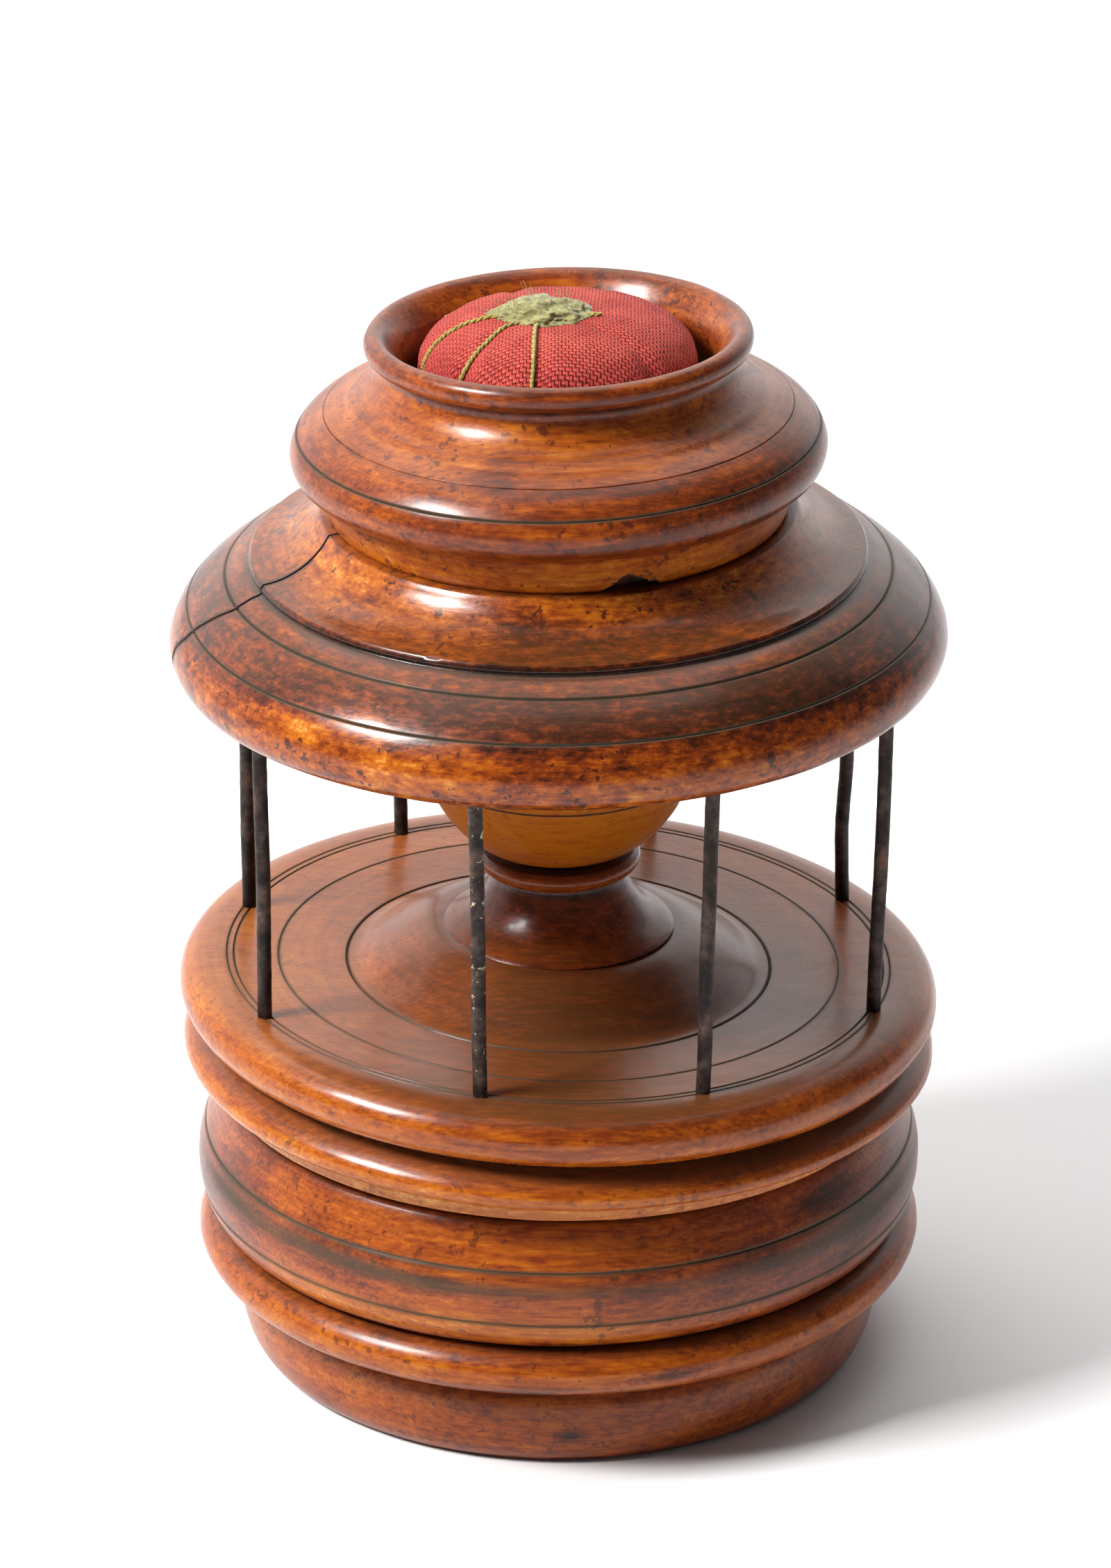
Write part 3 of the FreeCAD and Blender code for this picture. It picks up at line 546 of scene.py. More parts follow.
def yarn(name, light, dark, scale):
    """Wool or cotton in an olive green: matt, with a soft sheen from its loose fibres."""
    material, tree, shader = new_material(name)
    place = add(tree, "ShaderNodeTexCoord").outputs["Object"]
    fluff = add(tree, "ShaderNodeTexNoise", {"Vector": place, "Scale": scale, "Detail": 5.0,
                                             "Roughness": 0.75})
    body = add(tree, "ShaderNodeValToRGB", {"Fac": fluff.outputs["Fac"]},
               stops=[(0.32, dark), (0.62, light)])
    relief = add(tree, "ShaderNodeBump", {"Height": fluff.outputs["Fac"], "Strength": 0.9,
                                          "Distance": 0.25 * MM})
    link_to(tree, shader, Base_Color=body.outputs[0], Normal=relief.outputs[0])
    shader.inputs["Roughness"].default_value = 0.9
    shader.inputs["Sheen Weight"].default_value = 0.4
    shader.inputs["Sheen Roughness"].default_value = 0.6
    return material


class StandShape(bpy.types.PropertyGroup):
    """How the stand has gone out of true, and how finely it is made."""
    steps: IntProperty(name="Steps", description="Faces round the axis on a turned piece",
                       default=256, min=32, max=512)
    platform_lean: FloatProperty(
        name="Platform lean", description="How far the platform tips down to the right",
        default=math.radians(1.9), min=-0.1, max=0.1, subtype="ANGLE", unit="ROTATION")
    canopy_lean: FloatProperty(
        name="Canopy lean", description="How far the canopy tips down to the right",
        default=math.radians(-0.56), min=-0.1, max=0.1, subtype="ANGLE", unit="ROTATION")
    lid_lean: FloatProperty(
        name="Lid lean", description="How far the pincushion lid tips down to the right",
        default=math.radians(-1.3), min=-0.1, max=0.1, subtype="ANGLE", unit="ROTATION")
    lid_gap: FloatProperty(
        name="Lid gap", description="How far the lid's flange lifts off its seat on the right",
        default=math.radians(0.6), min=0.0, max=0.1, subtype="ANGLE", unit="ROTATION")
    rim_lean: FloatProperty(
        name="Rim lean", description="How far the dish's rim tips down to the back",
        default=math.radians(1.85), min=-0.1, max=0.1, subtype="ANGLE", unit="ROTATION")
    wire: FloatProperty(name="Wire radius", description="Radius of the reel spindles",
                        default=0.95 * MM, min=0.0005, max=0.002, subtype="DISTANCE",
                        unit="LENGTH")
    split: FloatProperty(name="Split width", description="Width of the canopy's drying split",
                         default=0.5 * MM, min=0.0001, max=0.002, subtype="DISTANCE",
                         unit="LENGTH")
    thread: FloatProperty(name="Thread radius", description="Radius of one ply of the thread",
                          default=0.19 * MM, min=0.0001, max=0.001, subtype="DISTANCE",
                          unit="LENGTH")


class StandFinish(bpy.types.PropertyGroup):
    """Colours of the wood, wire, cloth and wool."""
    # the darkest stops also colour the painted shade in the hollows and where pieces meet
    soot: swatch("Darkest polish", "Polish in the deepest hollows", "#140802")
    deep: swatch("Deep polish", "Whole, dark polish", "#3B1505")
    stain: swatch("Stain", "Red-brown stained wood", "#6F2C08")
    wood: swatch("Wood", "Orange-brown wood under thin polish", "#96460B")
    worn: swatch("Worn wood", "Wood where the polish is rubbed thin", "#B2610F")
    bare: swatch("Bare wood", "Wood with no polish left", "#C98A3E")
    amber: swatch("Amber", "Golden wood of the thimble cup", "#A65A08")
    fleck: swatch("Flecks", "Purple-brown flecks of old polish", "#3A140C")
    # greyer polish on faces that look up: fading and dust, and a painted sheen
    faded_with_sheen: swatch("Faded polish", "Greyer polish on faces that look up", "#85552F")
    dust: swatch("Dust", "Dust and wax in the cut lines", "#35301F")
    oxide: swatch("Oxide", "Dark oxide on the wires", "#1B1716")
    steel: swatch("Steel", "Brown wire", "#3A2A22")
    rust: swatch("Rust", "Rust on the wires", "#8A4A28")
    flake: swatch("Flakes", "Flakes of lacquer on the wires", "#B9A98A")
    cloth: swatch("Cloth", "Red cotton", "#AE2E27")
    # the deep cloth also colours the painted shade between the threads, and the faded cloth the
    # painted highlight on their crowns
    cloth_deep_and_shaded: swatch("Deep cloth", "Cotton that has kept its dye", "#5E0C12")
    cloth_faded_and_lit: swatch("Faded cloth", "Cotton faded on its crowns", "#D0604C")
    thread: swatch("Thread", "Yellow-green thread", "#B9AC3E")
    thread_dark: swatch("Thread shade", "Thread between its plies", "#6E691C")
    wool: swatch("Wool", "Olive wool tuft", "#A09A5C")
    wool_dark: swatch("Wool shade", "Wool in the depth of the tuft", "#625C2A")
    floor: swatch("Floor", "Studio floor", "#F2F2F2")


def wood_stops(finish):
    """The wood's colours from the darkest polish to bare wood."""
    return [(0.0, finish.soot), (0.26, finish.deep), (0.48, finish.stain), (0.66, finish.wood),
            (0.84, finish.worn), (1.0, finish.bare)]


def cut_away(piece, cutter, inner):
    """Takes a cutter out of a piece; the cut's own faces get the inner material."""
    mesh = bpy.data.meshes.new("cutter")
    cutter.to_mesh(mesh)
    cutter.free()
    mesh.materials.append(inner)
    tool = bpy.data.objects.new("cutter", mesh)
    bpy.context.scene.collection.objects.link(tool)
    piece.data.materials.append(inner)
    change = piece.modifiers.new("cut", "BOOLEAN")
    change.object, change.operation = tool, "DIFFERENCE"
    change.solver, change.material_mode = "EXACT", "TRANSFER"
    graph = bpy.context.evaluated_depsgraph_get()
    done = bpy.data.meshes.new_from_object(piece.evaluated_get(graph), depsgraph=graph)
    piece.modifiers.clear()
    old, piece.data = piece.data, done
    done.name = piece.name
    bpy.data.meshes.remove(old)
    bpy.data.objects.remove(tool)
    bpy.data.meshes.remove(mesh)


class STAND_OT_bowl(bpy.types.Operator):
    """Turn the bowl: foot, lowest bead and the hollow inside"""
    bl_idname = "stand.bowl"
    bl_label = "Bowl"

    def execute(self, context):
        shape, finish = context.scene.stand_shape, context.scene.stand_finish
        low = bottom_of("base_bowl")
        bm = turned(BOWL, low, shape.steps)
        shade_marks(bm, low, BOWL_MARKS)
        wood = polished_wood("bowl", finish)
        new_piece("bowl", bm, wood, "bowl", ["base_bowl"])
        return {"FINISHED"}


class STAND_OT_tray(bpy.types.Operator):
    """Turn the lift-out tray with its bellied wall"""
    bl_idname = "stand.tray"
    bl_label = "Tray"

    def execute(self, context):
        shape, finish = context.scene.stand_shape, context.scene.stand_finish
        low = bottom_of("drum_tray")
        bm = turned(TRAY, low, shape.steps, TRAY_LINES)
        shade_marks(bm, low, TRAY_MARKS)
        shade_marks(bm, low, TRAY_SMUDGES, "line")
        wood = polished_wood("tray", finish)
        new_piece("tray", bm, wood, "tray", ["drum_tray"])
        return {"FINISHED"}


class STAND_OT_platform(bpy.types.Operator):
    """Turn the platform lid, tipped a little to the right"""
    bl_idname = "stand.platform"
    bl_label = "Platform"

    def execute(self, context):
        shape, finish = context.scene.stand_shape, context.scene.stand_finish
        low = bottom_of("platform_lid")
        bm = turned(LID, low, shape.steps, PLATFORM_LINES)
        shade_marks(bm, low, PLATFORM_MARKS)
        for vert in bm.verts:
            up = within((vert.co.z - low) / (8.5 * MM))
            seat = 0.6 * MM + lean(vert.co, shape.platform_lean * 0.4)
            vert.co.z += seat + (lean(vert.co, shape.platform_lean) - seat) * up
        wood = polished_wood("platform", finish)
        new_piece("platform", bm, wood, "platform", ["platform_lid"])
        return {"FINISHED"}


class STAND_OT_pillar(bpy.types.Operator):
    """Turn the pillar with its flared foot and small ring"""
    bl_idname = "stand.pillar"
    bl_label = "Pillar"

    def execute(self, context):
        shape, finish = context.scene.stand_shape, context.scene.stand_finish
        low = bottom_of("pillar")
        bm = turned(PILLAR, low, shape.steps // 2, step=0.35)
        for vert in bm.verts:
            up = within((vert.co.z - low) / (18 * MM))
            vert.co.z += lean(vert.co, shape.platform_lean) * (1 - up)
        wood = polished_wood("pillar", finish)
        new_piece("turned_pillar", bm, wood, "platform", ["pillar"])
        return {"FINISHED"}


# How far the top of each wire leans along X, and a kink above its foot, in millimetres.
WIRE_LEANS = [(0.54, 0.35), (0.3, 0), (0.0, 0), (0.2, 0), (-0.25, 0), (-0.44, 0), (1.16, 0),
              (1.39, 0)]


FLAKY_WIRE = 6  # the one whose lacquer still clings in flakes
WIRE_RINGS, WIRE_EDGE = 48, 0.3 * MM  # rings along a wire, and the bevel at its top


def wire_foot(number):
    """Where a wire's foot stands and the height of its top."""
    low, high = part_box(f"spindle_{number}")
    return Vector(((low[0] + high[0]) / 2, (low[1] + high[1]) / 2, low[2])), high[2]


class STAND_OT_wires(bpy.types.Operator):
    """Draw the eight wires that hold the reels, each a little out of true"""
    bl_idname = "stand.wires"
    bl_label = "Reel wires"

    def execute(self, context):
        shape, finish = context.scene.stand_shape, context.scene.stand_finish
        steel = old_steel(finish)
        for number in SPINDLES:
            foot, top = wire_foot(number)
            tall = top - foot.z
            sway, kink = (value * MM for value in WIRE_LEANS[number - 1])
            bm = bmesh.new()
            ring = [bm.verts.new((0, 0, 0))]
            ring += [bm.verts.new((shape.wire, 0, tall * k / WIRE_RINGS))
                     for k in range(WIRE_RINGS)]
            ring += [bm.verts.new((shape.wire, 0, tall - WIRE_EDGE)),
                     bm.verts.new((shape.wire - WIRE_EDGE, 0, tall)),
                     bm.verts.new((0, 0, tall))]
            edges = [bm.edges.new(pair) for pair in zip(ring, ring[1:])]
            bmesh.ops.spin(bm, geom=ring + edges, cent=(0, 0, 0), axis=(0, 0, 1),
                           dvec=(0, 0, 0), angle=math.tau, steps=24, use_merge=True)
            bmesh.ops.remove_doubles(bm, verts=bm.verts, dist=1e-6)
            bmesh.ops.recalc_face_normals(bm, faces=bm.faces)
            flaky = bm.verts.layers.float.new("flaky")
            for vert in bm.verts:
                vert[flaky] = float(number == FLAKY_WIRE)
                up = vert.co.z / tall
                rough = 1 + 0.05 * noise.noise(vert.co / (1.5 * MM) + foot * 900)
                wave = 0.25 * MM * noise.noise(Vector((number * 7.3, 0, up * 3)))
                vert.co.x = vert.co.x * rough + foot.x + sway * (up - 0.13) + wave
                vert.co.x -= kink * math.exp(-((up - 0.3) / 0.12) ** 2)
                vert.co.y = vert.co.y * rough + foot.y
                vert.co.z += foot.z
            new_piece(f"wire_{number}", bm, steel, "platform",
                      [f"spindle_{number}"])
        return {"FINISHED"}


# The drying split in plan, from the well's collar to the rim, in millimetres.
SPLIT = [(-25.9, -8.0), (-29.5, -9.3), (-37.0, -12.4), (-42.0, -13.2), (-48.3, -10.6),
         (-53.0, -4.8)]
BORE = 1.5 * MM  # radius of the bores that take the wires' tops


class STAND_OT_canopy(bpy.types.Operator):
    """Turn the canopy, bore it for the wires and open its drying split"""
    bl_idname = "stand.canopy"
    bl_label = "Canopy"

    def execute(self, context):
        shape, finish = context.scene.stand_shape, context.scene.stand_finish
        low = bottom_of("canopy")
        bm = turned(CANOPY, low, shape.steps, CANOPY_LINES)
        shade_marks(bm, low, CANOPY_MARKS)
        for vert in bm.verts:
            vert.co.z += lean(vert.co, shape.canopy_lean)
        wood = polished_wood("canopy", finish)
        piece = new_piece("turned_canopy", bm, wood, "canopy", ["canopy"])
        # the split's walls are coloured dark as painted shade
        raw = raw_wood("raw_wood_split_shade", finish)
        split = bmesh.new()
        sides = []
        for side in (-0.5, 0.5):
            sides.append([])
            for number, (x, y) in enumerate(SPLIT):
                wide = shape.split * (0.8 + 0.12 * number)
                sides[-1].append(split.verts.new((x * MM, y * MM + side * wide, low - 2 * MM)))
        floor = split.faces.new(sides[0] + sides[1][::-1])
        raised = bmesh.ops.extrude_face_region(split, geom=[floor])
        bmesh.ops.translate(split, vec=(0, 0, 32 * MM),
                            verts=[v for v in raised["geom"] if isinstance(v, bmesh.types.BMVert)])
        bmesh.ops.recalc_face_normals(split, faces=split.faces)
        for number in SPINDLES:
            foot, top = wire_foot(number)
            sway = WIRE_LEANS[number - 1][0] * 0.85 * MM
            bmesh.ops.create_cone(split, cap_ends=True, segments=24, radius1=BORE,
                                  radius2=BORE, depth=8 * MM,
                                  matrix=Matrix.Translation(
                                      (foot.x + sway, foot.y, top - 3.4 * MM)))
        cut_away(piece, split, raw)
        piece.data.set_sharp_from_angle(angle=math.radians(40))
        return {"FINISHED"}


class STAND_OT_cup(bpy.types.Operator):
    """Turn the golden thimble cup that hangs under the canopy"""
    bl_idname = "stand.cup"
    bl_label = "Thimble cup"

    def execute(self, context):
        shape, finish = context.scene.stand_shape, context.scene.stand_finish
        bm = turned(CUP, bottom_of("thimble_cup"), shape.steps // 2, CUP_LINES, step=0.4)
        stops = [(0.0, finish.soot), (0.3, finish.deep), (0.55, finish.wood),
                 (0.7, finish.amber), (1.0, finish.worn)]
        wood = polished_wood("cup", finish, stops)
        new_piece("cup", bm, wood, "canopy", ["thimble_cup"])
        return {"FINISHED"}


def tip_with_lid(bm, shape, low):
    """Tips the pincushion lid and what it carries: as the canopy at its flange, more above."""
    for vert in bm.verts:
        up = within((vert.co.z - low) / (8.4 * MM))
        rim = within((vert.co.z - low) / (18 * MM) - 0.33)
        angle = shape.canopy_lean + (shape.lid_lean - shape.canopy_lean) * up
        gap = max(vert.co.x, 0.0) * math.tan(shape.lid_gap) * (1 - up)
        rise = 0.9 * MM - vert.co.y * math.tan(shape.rim_lean)
        vert.co.z += lean(vert.co, angle) + gap + rise * rim


CHIP_BEARING, CHIP_REACH = math.radians(287.8), 29.6  # where the chip is, in mm from the axis


class STAND_OT_lid(bpy.types.Operator):
    """Turn the pincushion's lid and knock the old chip out of its flange"""
    bl_idname = "stand.lid"
    bl_label = "Pincushion lid"

    def execute(self, context):
        shape, finish = context.scene.stand_shape, context.scene.stand_finish
        low = bottom_of("pincushion_lid")
        bm = turned(CAP, low, shape.steps, CAP_LINES, step=0.45)
        shade_marks(bm, low, CAP_MARKS)
        tip_with_lid(bm, shape, low)
        wood = polished_wood("lid", finish)
        piece = new_piece("lid", bm, wood, "cap", ["pincushion_lid"])
        # the chip's walls are coloured dark as painted shade
        raw = raw_wood("raw_wood_chip_shade", finish)
        chip = bmesh.new()
        bearing = CHIP_BEARING
        spot = Vector((math.cos(bearing), math.sin(bearing), 0)) * CHIP_REACH * MM
        bmesh.ops.create_icosphere(chip, subdivisions=4, radius=1.0)
        for vert in chip.verts:
            rough = 1 + 0.25 * noise.noise(vert.co * 2.3) + 0.12 * noise.noise(vert.co * 6)
            vert.co = Vector((vert.co.x * 3.6, vert.co.y * 2.8, vert.co.z * 2.2)) * rough * MM
        bmesh.ops.transform(chip, verts=chip.verts,
                            matrix=Matrix.Translation(spot + Vector((0, 0, low - 0.1 * MM)))
                            @ Matrix.Rotation(bearing + math.pi / 2, 4, "Z"))
        cut_away(piece, chip, raw)
        piece.data.set_sharp_from_angle(angle=math.radians(40))
        return {"FINISHED"}


def pad_height(low, high):
    """The pad's belly level and its reach above and below it, from its box."""
    belly = low.z + (high.z - low.z) * 0.46
    return belly, high.z - belly, belly - low.z


def weave_map(mesh, centre, pitch):
    """Lays the cloth's weave over the pad as if it were drawn down from the crown: threads run
    along X and Y there and keep their spacing down the sides."""
    layer = mesh.uv_layers.new(name="weave")
    places = []
    for vert in mesh.vertices:
        flat = (vert.co - centre).xy
        reach, drop = flat.length, centre.z - vert.co.z
        spread = math.hypot(reach, drop) / reach if reach > 1e-6 else 1.0
        places.append(flat * spread / pitch)
    for loop in mesh.loops:
        layer.data[loop.index].uv = places[loop.vertex_index]


# Bearings of the stitched threads in degrees, and where each begins and ends now that some have
# worn away, as a share of the way from the crown to the dish.
STITCHES = [(190, 0.1, 1.08), (225, 0.1, 1.08), (262, 0.1, 1.08), (315, 0.74, 0.9),
            (350, 0.1, 0.2), (60, 0.04, 0.12), (115, 0.55, 0.95), (152, 0.55, 1.0)]
WHOLE = 0.85  # a thread that ends past this share still draws the cloth in


CROWN = Vector((-2.2, -2.4)) * MM  # the stitches meet a little to the front left of the axis


def crown_shift(share):
    """How far the pad's cloth has been pulled aside, by the share of the way out from its axis."""
    return CROWN * math.exp(-(share / 0.6) ** 2)


def stitch_pull(flat):
    """1 on a stitched line of the pad, falling to 0 some way to each side."""
    bearing = math.degrees(math.atan2(flat.y, flat.x))
    nearest = min(abs((bearing - place + 180) % 360 - 180)
                  for place, _, end in STITCHES if end > WHOLE)
    return math.exp(-(nearest / 5.0) ** 2)


class STAND_OT_pad(bpy.types.Operator):
    """Stuff the pincushion: a cotton pad drawn in by stitches from its crown"""
    bl_idname = "stand.pad"
    bl_label = "Pincushion pad"

    def execute(self, context):
        shape, finish = context.scene.stand_shape, context.scene.stand_finish
        low, high = (Vector(corner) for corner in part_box("pincushion_pad"))
        belly, rise, drop = pad_height(low, high)
        radius, rise = (high.x - low.x) / 2, rise + 1.4 * MM
        bm = bmesh.new()
        bmesh.ops.create_uvsphere(bm, u_segments=128, v_segments=64, radius=1.0)
        for vert in bm.verts:
            way = vert.co.copy()
            flat = way.xy.length
            pull = stitch_pull(way.xy) * flat ** 0.5
            out = radius * (flat ** 0.82) * (0.985 - 0.03 * pull)
            tall = (rise if way.z > 0 else drop) * abs(way.z) ** 0.85 * (1 - 0.05 * pull)
            dimple = 0.16 * rise * math.exp(-(flat / 0.22) ** 2) if way.z > 0 else 0.0
            heading = way.xy.normalized() if flat > 1e-5 else Vector((0, 0))
            spot = heading * out + crown_shift(flat)
            vert.co = Vector((*spot, belly + math.copysign(tall, way.z) - dimple))
        bm = puff(bm, belly)
        bmesh.ops.subdivide_edges(bm, edges=bm.edges, cuts=1, use_grid_fill=True, smooth=1.0)
        for vert in bm.verts:
            vert.co += vert.normal * 0.12 * MM * noise.noise(vert.co / (2.2 * MM))
        cap_low = bottom_of("pincushion_lid")
        tip_with_lid(bm, shape, cap_low)
        piece = new_piece("pad", bm, woven_cloth(finish), "cap",
                          ["pincushion_pad"], crisp=180)
        crown = Vector((0, 0, high.z))
        weave_map(piece.data, crown, 0.45 * MM)
        return {"FINISHED"}


PUFF_FRAMES, PUFF_LIMIT = 20, 1.2  # frames of cloth simulation, and the most it moves in mm


def puff(bm, belly):
    """Lets the stuffing press the pad's cloth out between its stitches, by a cloth simulation
    at ten times the size, where the solver is steady. No point moves past the limit."""
    big = 10.0
    start = {vert.index: vert.co.copy() for vert in bm.verts}
    bmesh.ops.scale(bm, vec=(big, big, big), verts=bm.verts)
    mesh = bpy.data.meshes.new("pad_cloth")
    bm.to_mesh(mesh)
    bm.free()
    piece = bpy.data.objects.new("pad_cloth", mesh)
    bpy.context.scene.collection.objects.link(piece)
    held = piece.vertex_groups.new(name="stitched")
    for vert in mesh.vertices:
        weight = stitch_pull(vert.co.xy)
        low = vert.co.z < (belly - 3 * MM) * big
        if weight > 0.55 or low or vert.co.xy.length < 3 * MM * big:
            held.add([vert.index], 1.0, "REPLACE")
    cloth = piece.modifiers.new("cloth", "CLOTH")
    cloth.settings.quality = 6
    cloth.settings.mass = 0.3
    cloth.settings.tension_stiffness = 15
    cloth.settings.compression_stiffness = 15
    cloth.settings.use_pressure = True
    cloth.settings.uniform_pressure_force = 2.5
    cloth.settings.effector_weights.gravity = 0
    cloth.settings.vertex_group_mass = "stitched"
    scene = bpy.context.scene
    cloth.point_cache.frame_start, cloth.point_cache.frame_end = 1, PUFF_FRAMES
    for number in range(1, PUFF_FRAMES + 1):
        scene.frame_set(number)
    graph = bpy.context.evaluated_depsgraph_get()
    done = bpy.data.meshes.new_from_object(piece.evaluated_get(graph), depsgraph=graph)
    scene.frame_set(1)
    bpy.data.objects.remove(piece)
    bpy.data.meshes.remove(mesh)
    result = bmesh.new()
    result.from_mesh(done)
    bpy.data.meshes.remove(done)
    bmesh.ops.scale(result, vec=(1 / big,) * 3, verts=result.verts)
    result.verts.ensure_lookup_table()
    for vert in result.verts:
        move = vert.co - start[vert.index]
        if move.length > PUFF_LIMIT * MM:
            vert.co = start[vert.index] + move.normalized() * PUFF_LIMIT * MM
    bmesh.ops.recalc_face_normals(result, faces=result.faces)
    result.normal_update()
    return result


def round_strands(strands, radius):
    """Round strands through lists of points, as one closed bmesh."""
    line = bpy.data.curves.new("strands", "CURVE")
    line.dimensions, line.bevel_depth, line.bevel_resolution = "3D", radius, 1
    line.use_fill_caps = True
    for points in strands:
        spline = line.splines.new("POLY")
        spline.points.add(len(points) - 1)
        for spot, place in zip(spline.points, points):
            spot.co = (*place, 1.0)
    holder = bpy.data.objects.new("strands", line)
    mesh = bpy.data.meshes.new_from_object(holder)
    bpy.data.objects.remove(holder)
    bpy.data.curves.remove(line)
    bm = bmesh.new()
    bm.from_mesh(mesh)
    bpy.data.meshes.remove(mesh)
    bmesh.ops.remove_doubles(bm, verts=bm.verts, dist=1e-7)
    bmesh.ops.recalc_face_normals(bm, faces=bm.faces)
    return bm


def pad_surface():
    """The stuffed pad as something that rays can be cast at."""
    mesh = bpy.data.objects["pad"].data
    return BVHTree.FromPolygons([v.co for v in mesh.vertices], [p.vertices for p in mesh.polygons])


class STAND_OT_threads(bpy.types.Operator):
    """Stitch the two-ply threads that draw the pad into sections"""
    bl_idname = "stand.threads"
    bl_label = "Threads"

    def execute(self, context):
        shape, finish = context.scene.stand_shape, context.scene.stand_finish
        tree = pad_surface()
        low, high = (Vector(corner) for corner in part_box("pincushion_pad"))
        belly = pad_height(low, high)[0]
        cotton = yarn("two_ply_cotton_thread", finish.thread, finish.thread_dark, 1500)
        for number, (bearing, start, end) in enumerate(STITCHES, 1):
            strands = [[], []]
            count = int(110 * (end - start)) + 20
            for k in range(count):
                share = start + (end - start) * k / (count - 1)
                swing = math.radians(bearing + 3.0 * math.sin(2.2 * share + number))
                fall = share * math.radians(97)
                flat = Vector((math.cos(swing), math.sin(swing))) * math.sin(fall)
                aside = crown_shift(flat.length) / (high.x - low.x) * 2
                way = Vector((*(flat + aside), math.cos(fall) * 0.42))
                source = Vector((0, 0, belly))
                spot, normal, *_ = tree.ray_cast(source, way)
                if spot is None:
                    continue
                side = way.cross(normal).normalized()
                turn = math.tau * k / 9
                for strand, phase in zip(strands, (0, math.pi)):
                    twist = side * math.cos(turn + phase) + normal * math.sin(turn + phase)
                    strand.append(spot + normal * shape.thread * 1.1 + twist * shape.thread * 0.8)
            new_piece(f"stitch_{number}", round_strands(strands, shape.thread), cotton, "cap",
                      [f"thread_{number}"], crisp=60)
        return {"FINISHED"}


HAIRS, HAIR = 260, 0.025 * MM  # loose fibres on the tuft, and the radius of one


class STAND_OT_tuft(bpy.types.Operator):
    """Felt the wool tuft that covers the knot on the pad's crown"""
    bl_idname = "stand.tuft"
    bl_label = "Wool tuft"

    def execute(self, context):
        finish = context.scene.stand_finish
        low, high = (Vector(corner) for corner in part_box("wool_tuft"))
        middle = (low + high) / 2
        noise.seed_set(7)
        wool = yarn("felted_olive_wool", finish.wool, finish.wool_dark, 900)
        tree = pad_surface()
        middle.xy += CROWN
        middle.z = tree.ray_cast(Vector((middle.x, middle.y, high.z + 0.01)),
                                 Vector((0, 0, -1)))[0].z + 0.9 * MM
        bm = bmesh.new()
        bmesh.ops.create_icosphere(bm, subdivisions=6, radius=1.0)
        for vert in bm.verts:
            way = vert.co.copy()
            # drawn out to a point on the left, blunt on the right
            narrow = 1 - 0.5 * max(-way.x, 0.0) ** 1.5
            lump = 0.24 * noise.noise(way * 2.6) + 0.12 * noise.noise(way * 6.5)
            lump += 0.07 * noise.noise(way * 16.0)
            vert.co = Vector((way.x * 7.2 * (1 + 0.4 * lump), way.y * 4.3 * narrow * (1 + lump),
                              way.z * 1.9 * narrow * (1 + 1.4 * lump) - 0.7 * way.xy.length ** 2))
            vert.co = vert.co * MM + middle
        bmesh.ops.recalc_face_normals(bm, faces=bm.faces)
        bm.normal_update()
        bm.verts.ensure_lookup_table()
        hairs = []
        for number in range(HAIRS):
            root = bm.verts[(number * 617) % len(bm.verts)]
            out = root.normal + 0.8 * noise.random_unit_vector()
            out.normalize()
            curl, hair = noise.random_unit_vector(), []
            length = (0.6 + 1.3 * noise.random()) * MM
            for share in (0.0, 0.2, 0.4, 0.6, 0.8, 1.0):
                hair.append(root.co + (out * share + curl * 0.5 * share ** 2) * length)
            hairs.append(hair)
        fuzz = round_strands(hairs, HAIR)
        loose = bpy.data.meshes.new("fuzz")
        fuzz.to_mesh(loose)
        fuzz.free()
        bm.from_mesh(loose)
        bpy.data.meshes.remove(loose)
        new_piece("tuft", bm, wool, "cap", ["wool_tuft"], crisp=180)
        return {"FINISHED"}


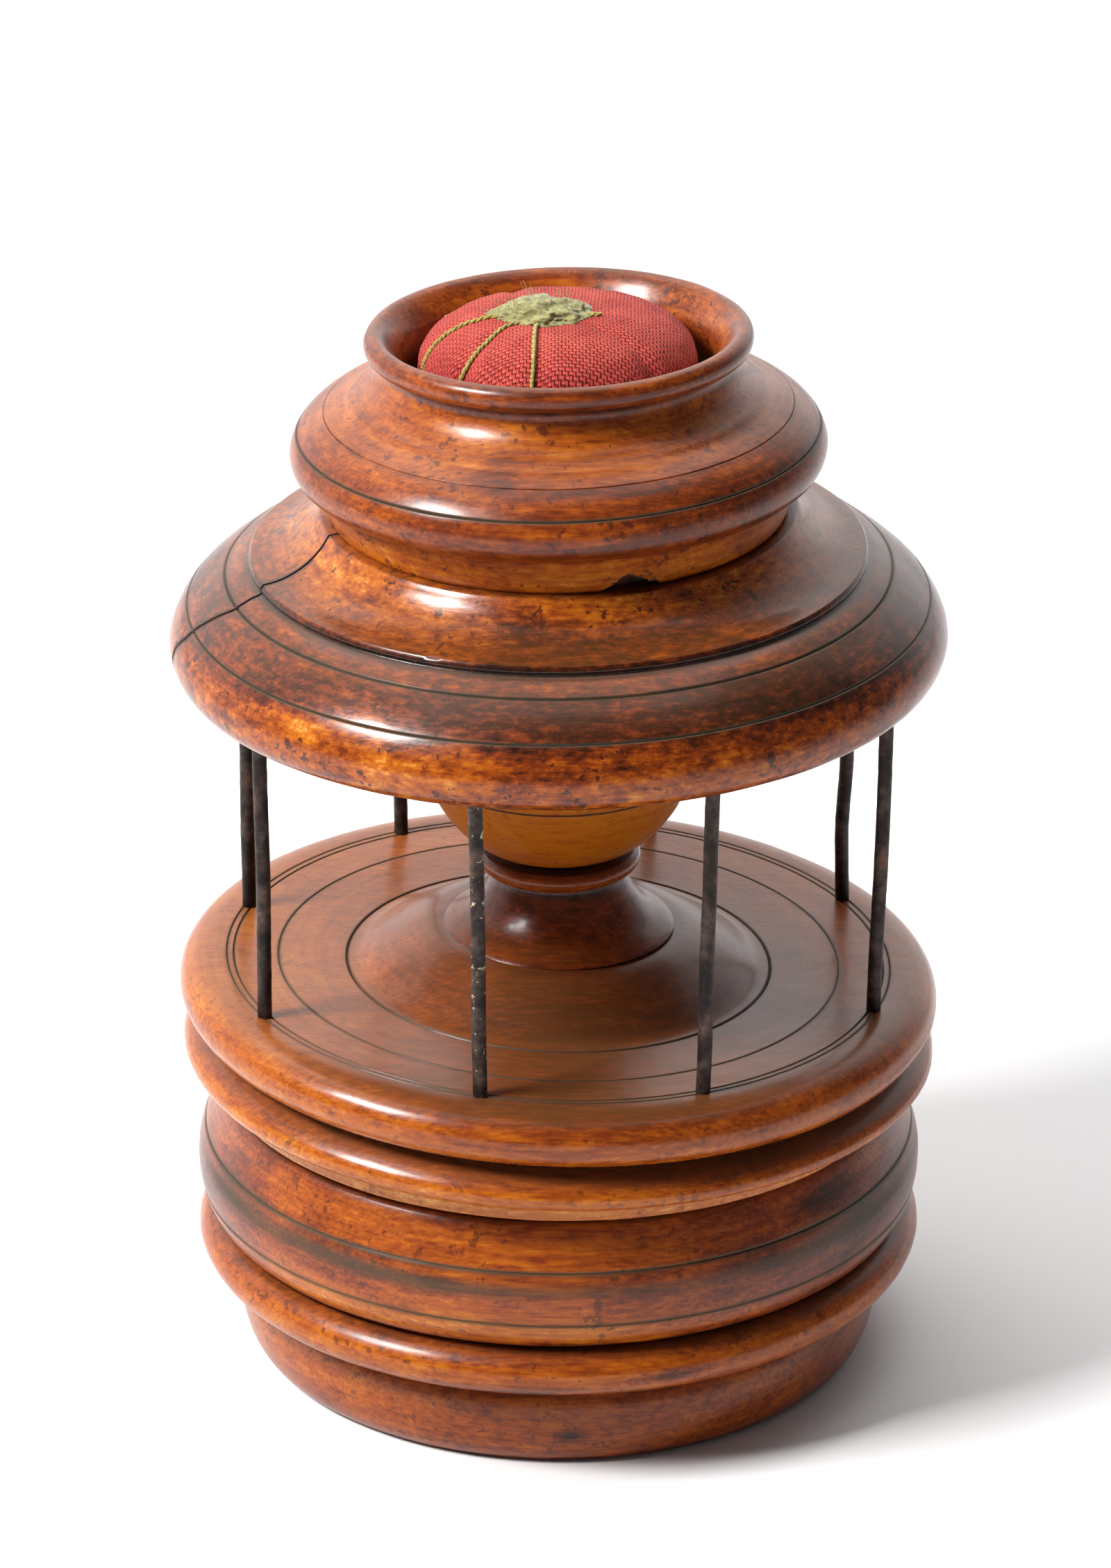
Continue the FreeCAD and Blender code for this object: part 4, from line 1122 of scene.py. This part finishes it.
class STAND_OT_stage(bpy.types.Operator):
    """Lay the pale floor, light it softly and set the camera"""
    bl_idname = "stand.stage"
    bl_label = "Stage"

    def execute(self, context):
        scene, finish = context.scene, context.scene.stand_finish
        bm = bmesh.new()
        bmesh.ops.create_grid(bm, x_segments=1, y_segments=1, size=4.0)
        mesh = bpy.data.meshes.new("floor")
        bm.to_mesh(mesh)
        bm.free()
        floor = bpy.data.objects.new("floor", mesh)
        scene.collection.objects.link(floor)
        paper, tree, shader = new_material("matt_white_paper")
        shader.inputs["Base Color"].default_value = finish.floor
        shader.inputs["Roughness"].default_value = 0.95
        mesh.materials.append(paper)

        world = bpy.data.worlds.new("soft_studio")
        world.use_nodes = True
        tree = world.node_tree
        # a white sweep stands behind the stand; the room in front and to the right is dim
        way = add(tree, "ShaderNodeTexCoord").outputs["Generated"]
        way = add(tree, "ShaderNodeVectorMath", {0: way, 1: (-0.3, 0.95, 0.1)},
                  operation="DOT_PRODUCT")
        back = add(tree, "ShaderNodeMapRange", {"Value": way.outputs["Value"], "From Min": 0.0,
                                                "From Max": 0.85, "To Min": 0.1,
                                                "To Max": 1.5}, interpolation_type="SMOOTHSTEP")
        sky = tree.nodes["Background"]
        sky.inputs["Color"].default_value = (1, 1, 1, 1)
        tree.links.new(back.outputs[0], sky.inputs["Strength"])
        scene.world = world
        middle = Vector((0, 0, 80 * MM))
        for name, bearing, height, distance, width, tall, power in LIGHTS:
            lamp = bpy.data.lights.new(name, "AREA")
            lamp.shape, lamp.size, lamp.size_y, lamp.energy = "RECTANGLE", width, tall, power
            light = bpy.data.objects.new(name, lamp)
            around, up = math.radians(bearing), math.radians(height)
            light.location = middle + distance * Vector((
                math.cos(around) * math.cos(up), math.sin(around) * math.cos(up), math.sin(up)))
            light.rotation_euler = (light.location - middle).to_track_quat("Z", "Y").to_euler()
            scene.collection.objects.link(light)

        view = bpy.data.cameras.new("camera")
        view.lens, view.sensor_width = LENS, 36.0
        camera = bpy.data.objects.new("camera", view)
        camera.location = VIEW_TARGET + VIEW_DISTANCE * Vector(
            (0, -math.cos(VIEW_HEIGHT), math.sin(VIEW_HEIGHT)))
        camera.rotation_euler = (math.pi / 2 - VIEW_HEIGHT, 0, 0)
        scene.collection.objects.link(camera)
        scene.camera = camera
        scene.view_settings.view_transform = "Standard"
        return {"FINISHED"}


# The camera looks down on the front of the stand, at this point and from this far, in metres.
LENS = 183.3
VIEW_TARGET = Vector((-0.41 * MM, 0, 79.5 * MM))
VIEW_DISTANCE, VIEW_HEIGHT = 1.055, math.radians(24.2)

# Lights: name, bearing and height in degrees, distance, width and height in metres, watts.
LIGHTS = [("key", 205, 44, 1.3, 0.42, 0.32, 26), ("overhead", 100, 72, 1.8, 1.8, 1.8, 17)]

OPERATORS = [STAND_OT_stage, STAND_OT_bowl, STAND_OT_tray, STAND_OT_platform, STAND_OT_pillar,
             STAND_OT_wires, STAND_OT_canopy, STAND_OT_cup, STAND_OT_lid, STAND_OT_pad,
             STAND_OT_threads, STAND_OT_tuft]


class STAND_PT_panel(bpy.types.Panel):
    """Builds the stand piece by piece"""
    bl_idname = "STAND_PT_panel"
    bl_label = "Sewing Stand"
    bl_space_type = "VIEW_3D"
    bl_region_type = "UI"
    bl_category = "Sewing Stand"

    def draw(self, context):
        for group in (context.scene.stand_shape, context.scene.stand_finish):
            column = self.layout.column()
            for word in group.__annotations__:
                column.prop(group, word)
        for operator in OPERATORS:
            self.layout.operator(operator.bl_idname)


CLASSES = [StandShape, StandFinish, *OPERATORS, STAND_PT_panel]


def register():
    for item in CLASSES:
        bpy.utils.register_class(item)
    bpy.types.Scene.stand_shape = PointerProperty(type=StandShape)
    bpy.types.Scene.stand_finish = PointerProperty(type=StandFinish)


def unregister():
    del bpy.types.Scene.stand_finish
    del bpy.types.Scene.stand_shape
    for item in reversed(CLASSES):
        bpy.utils.unregister_class(item)


def main():
    register()
    for operator in OPERATORS:
        word = operator.bl_idname.split(".")[1]
        getattr(bpy.ops.stand, word)()


if __name__ == "__main__":
    main()
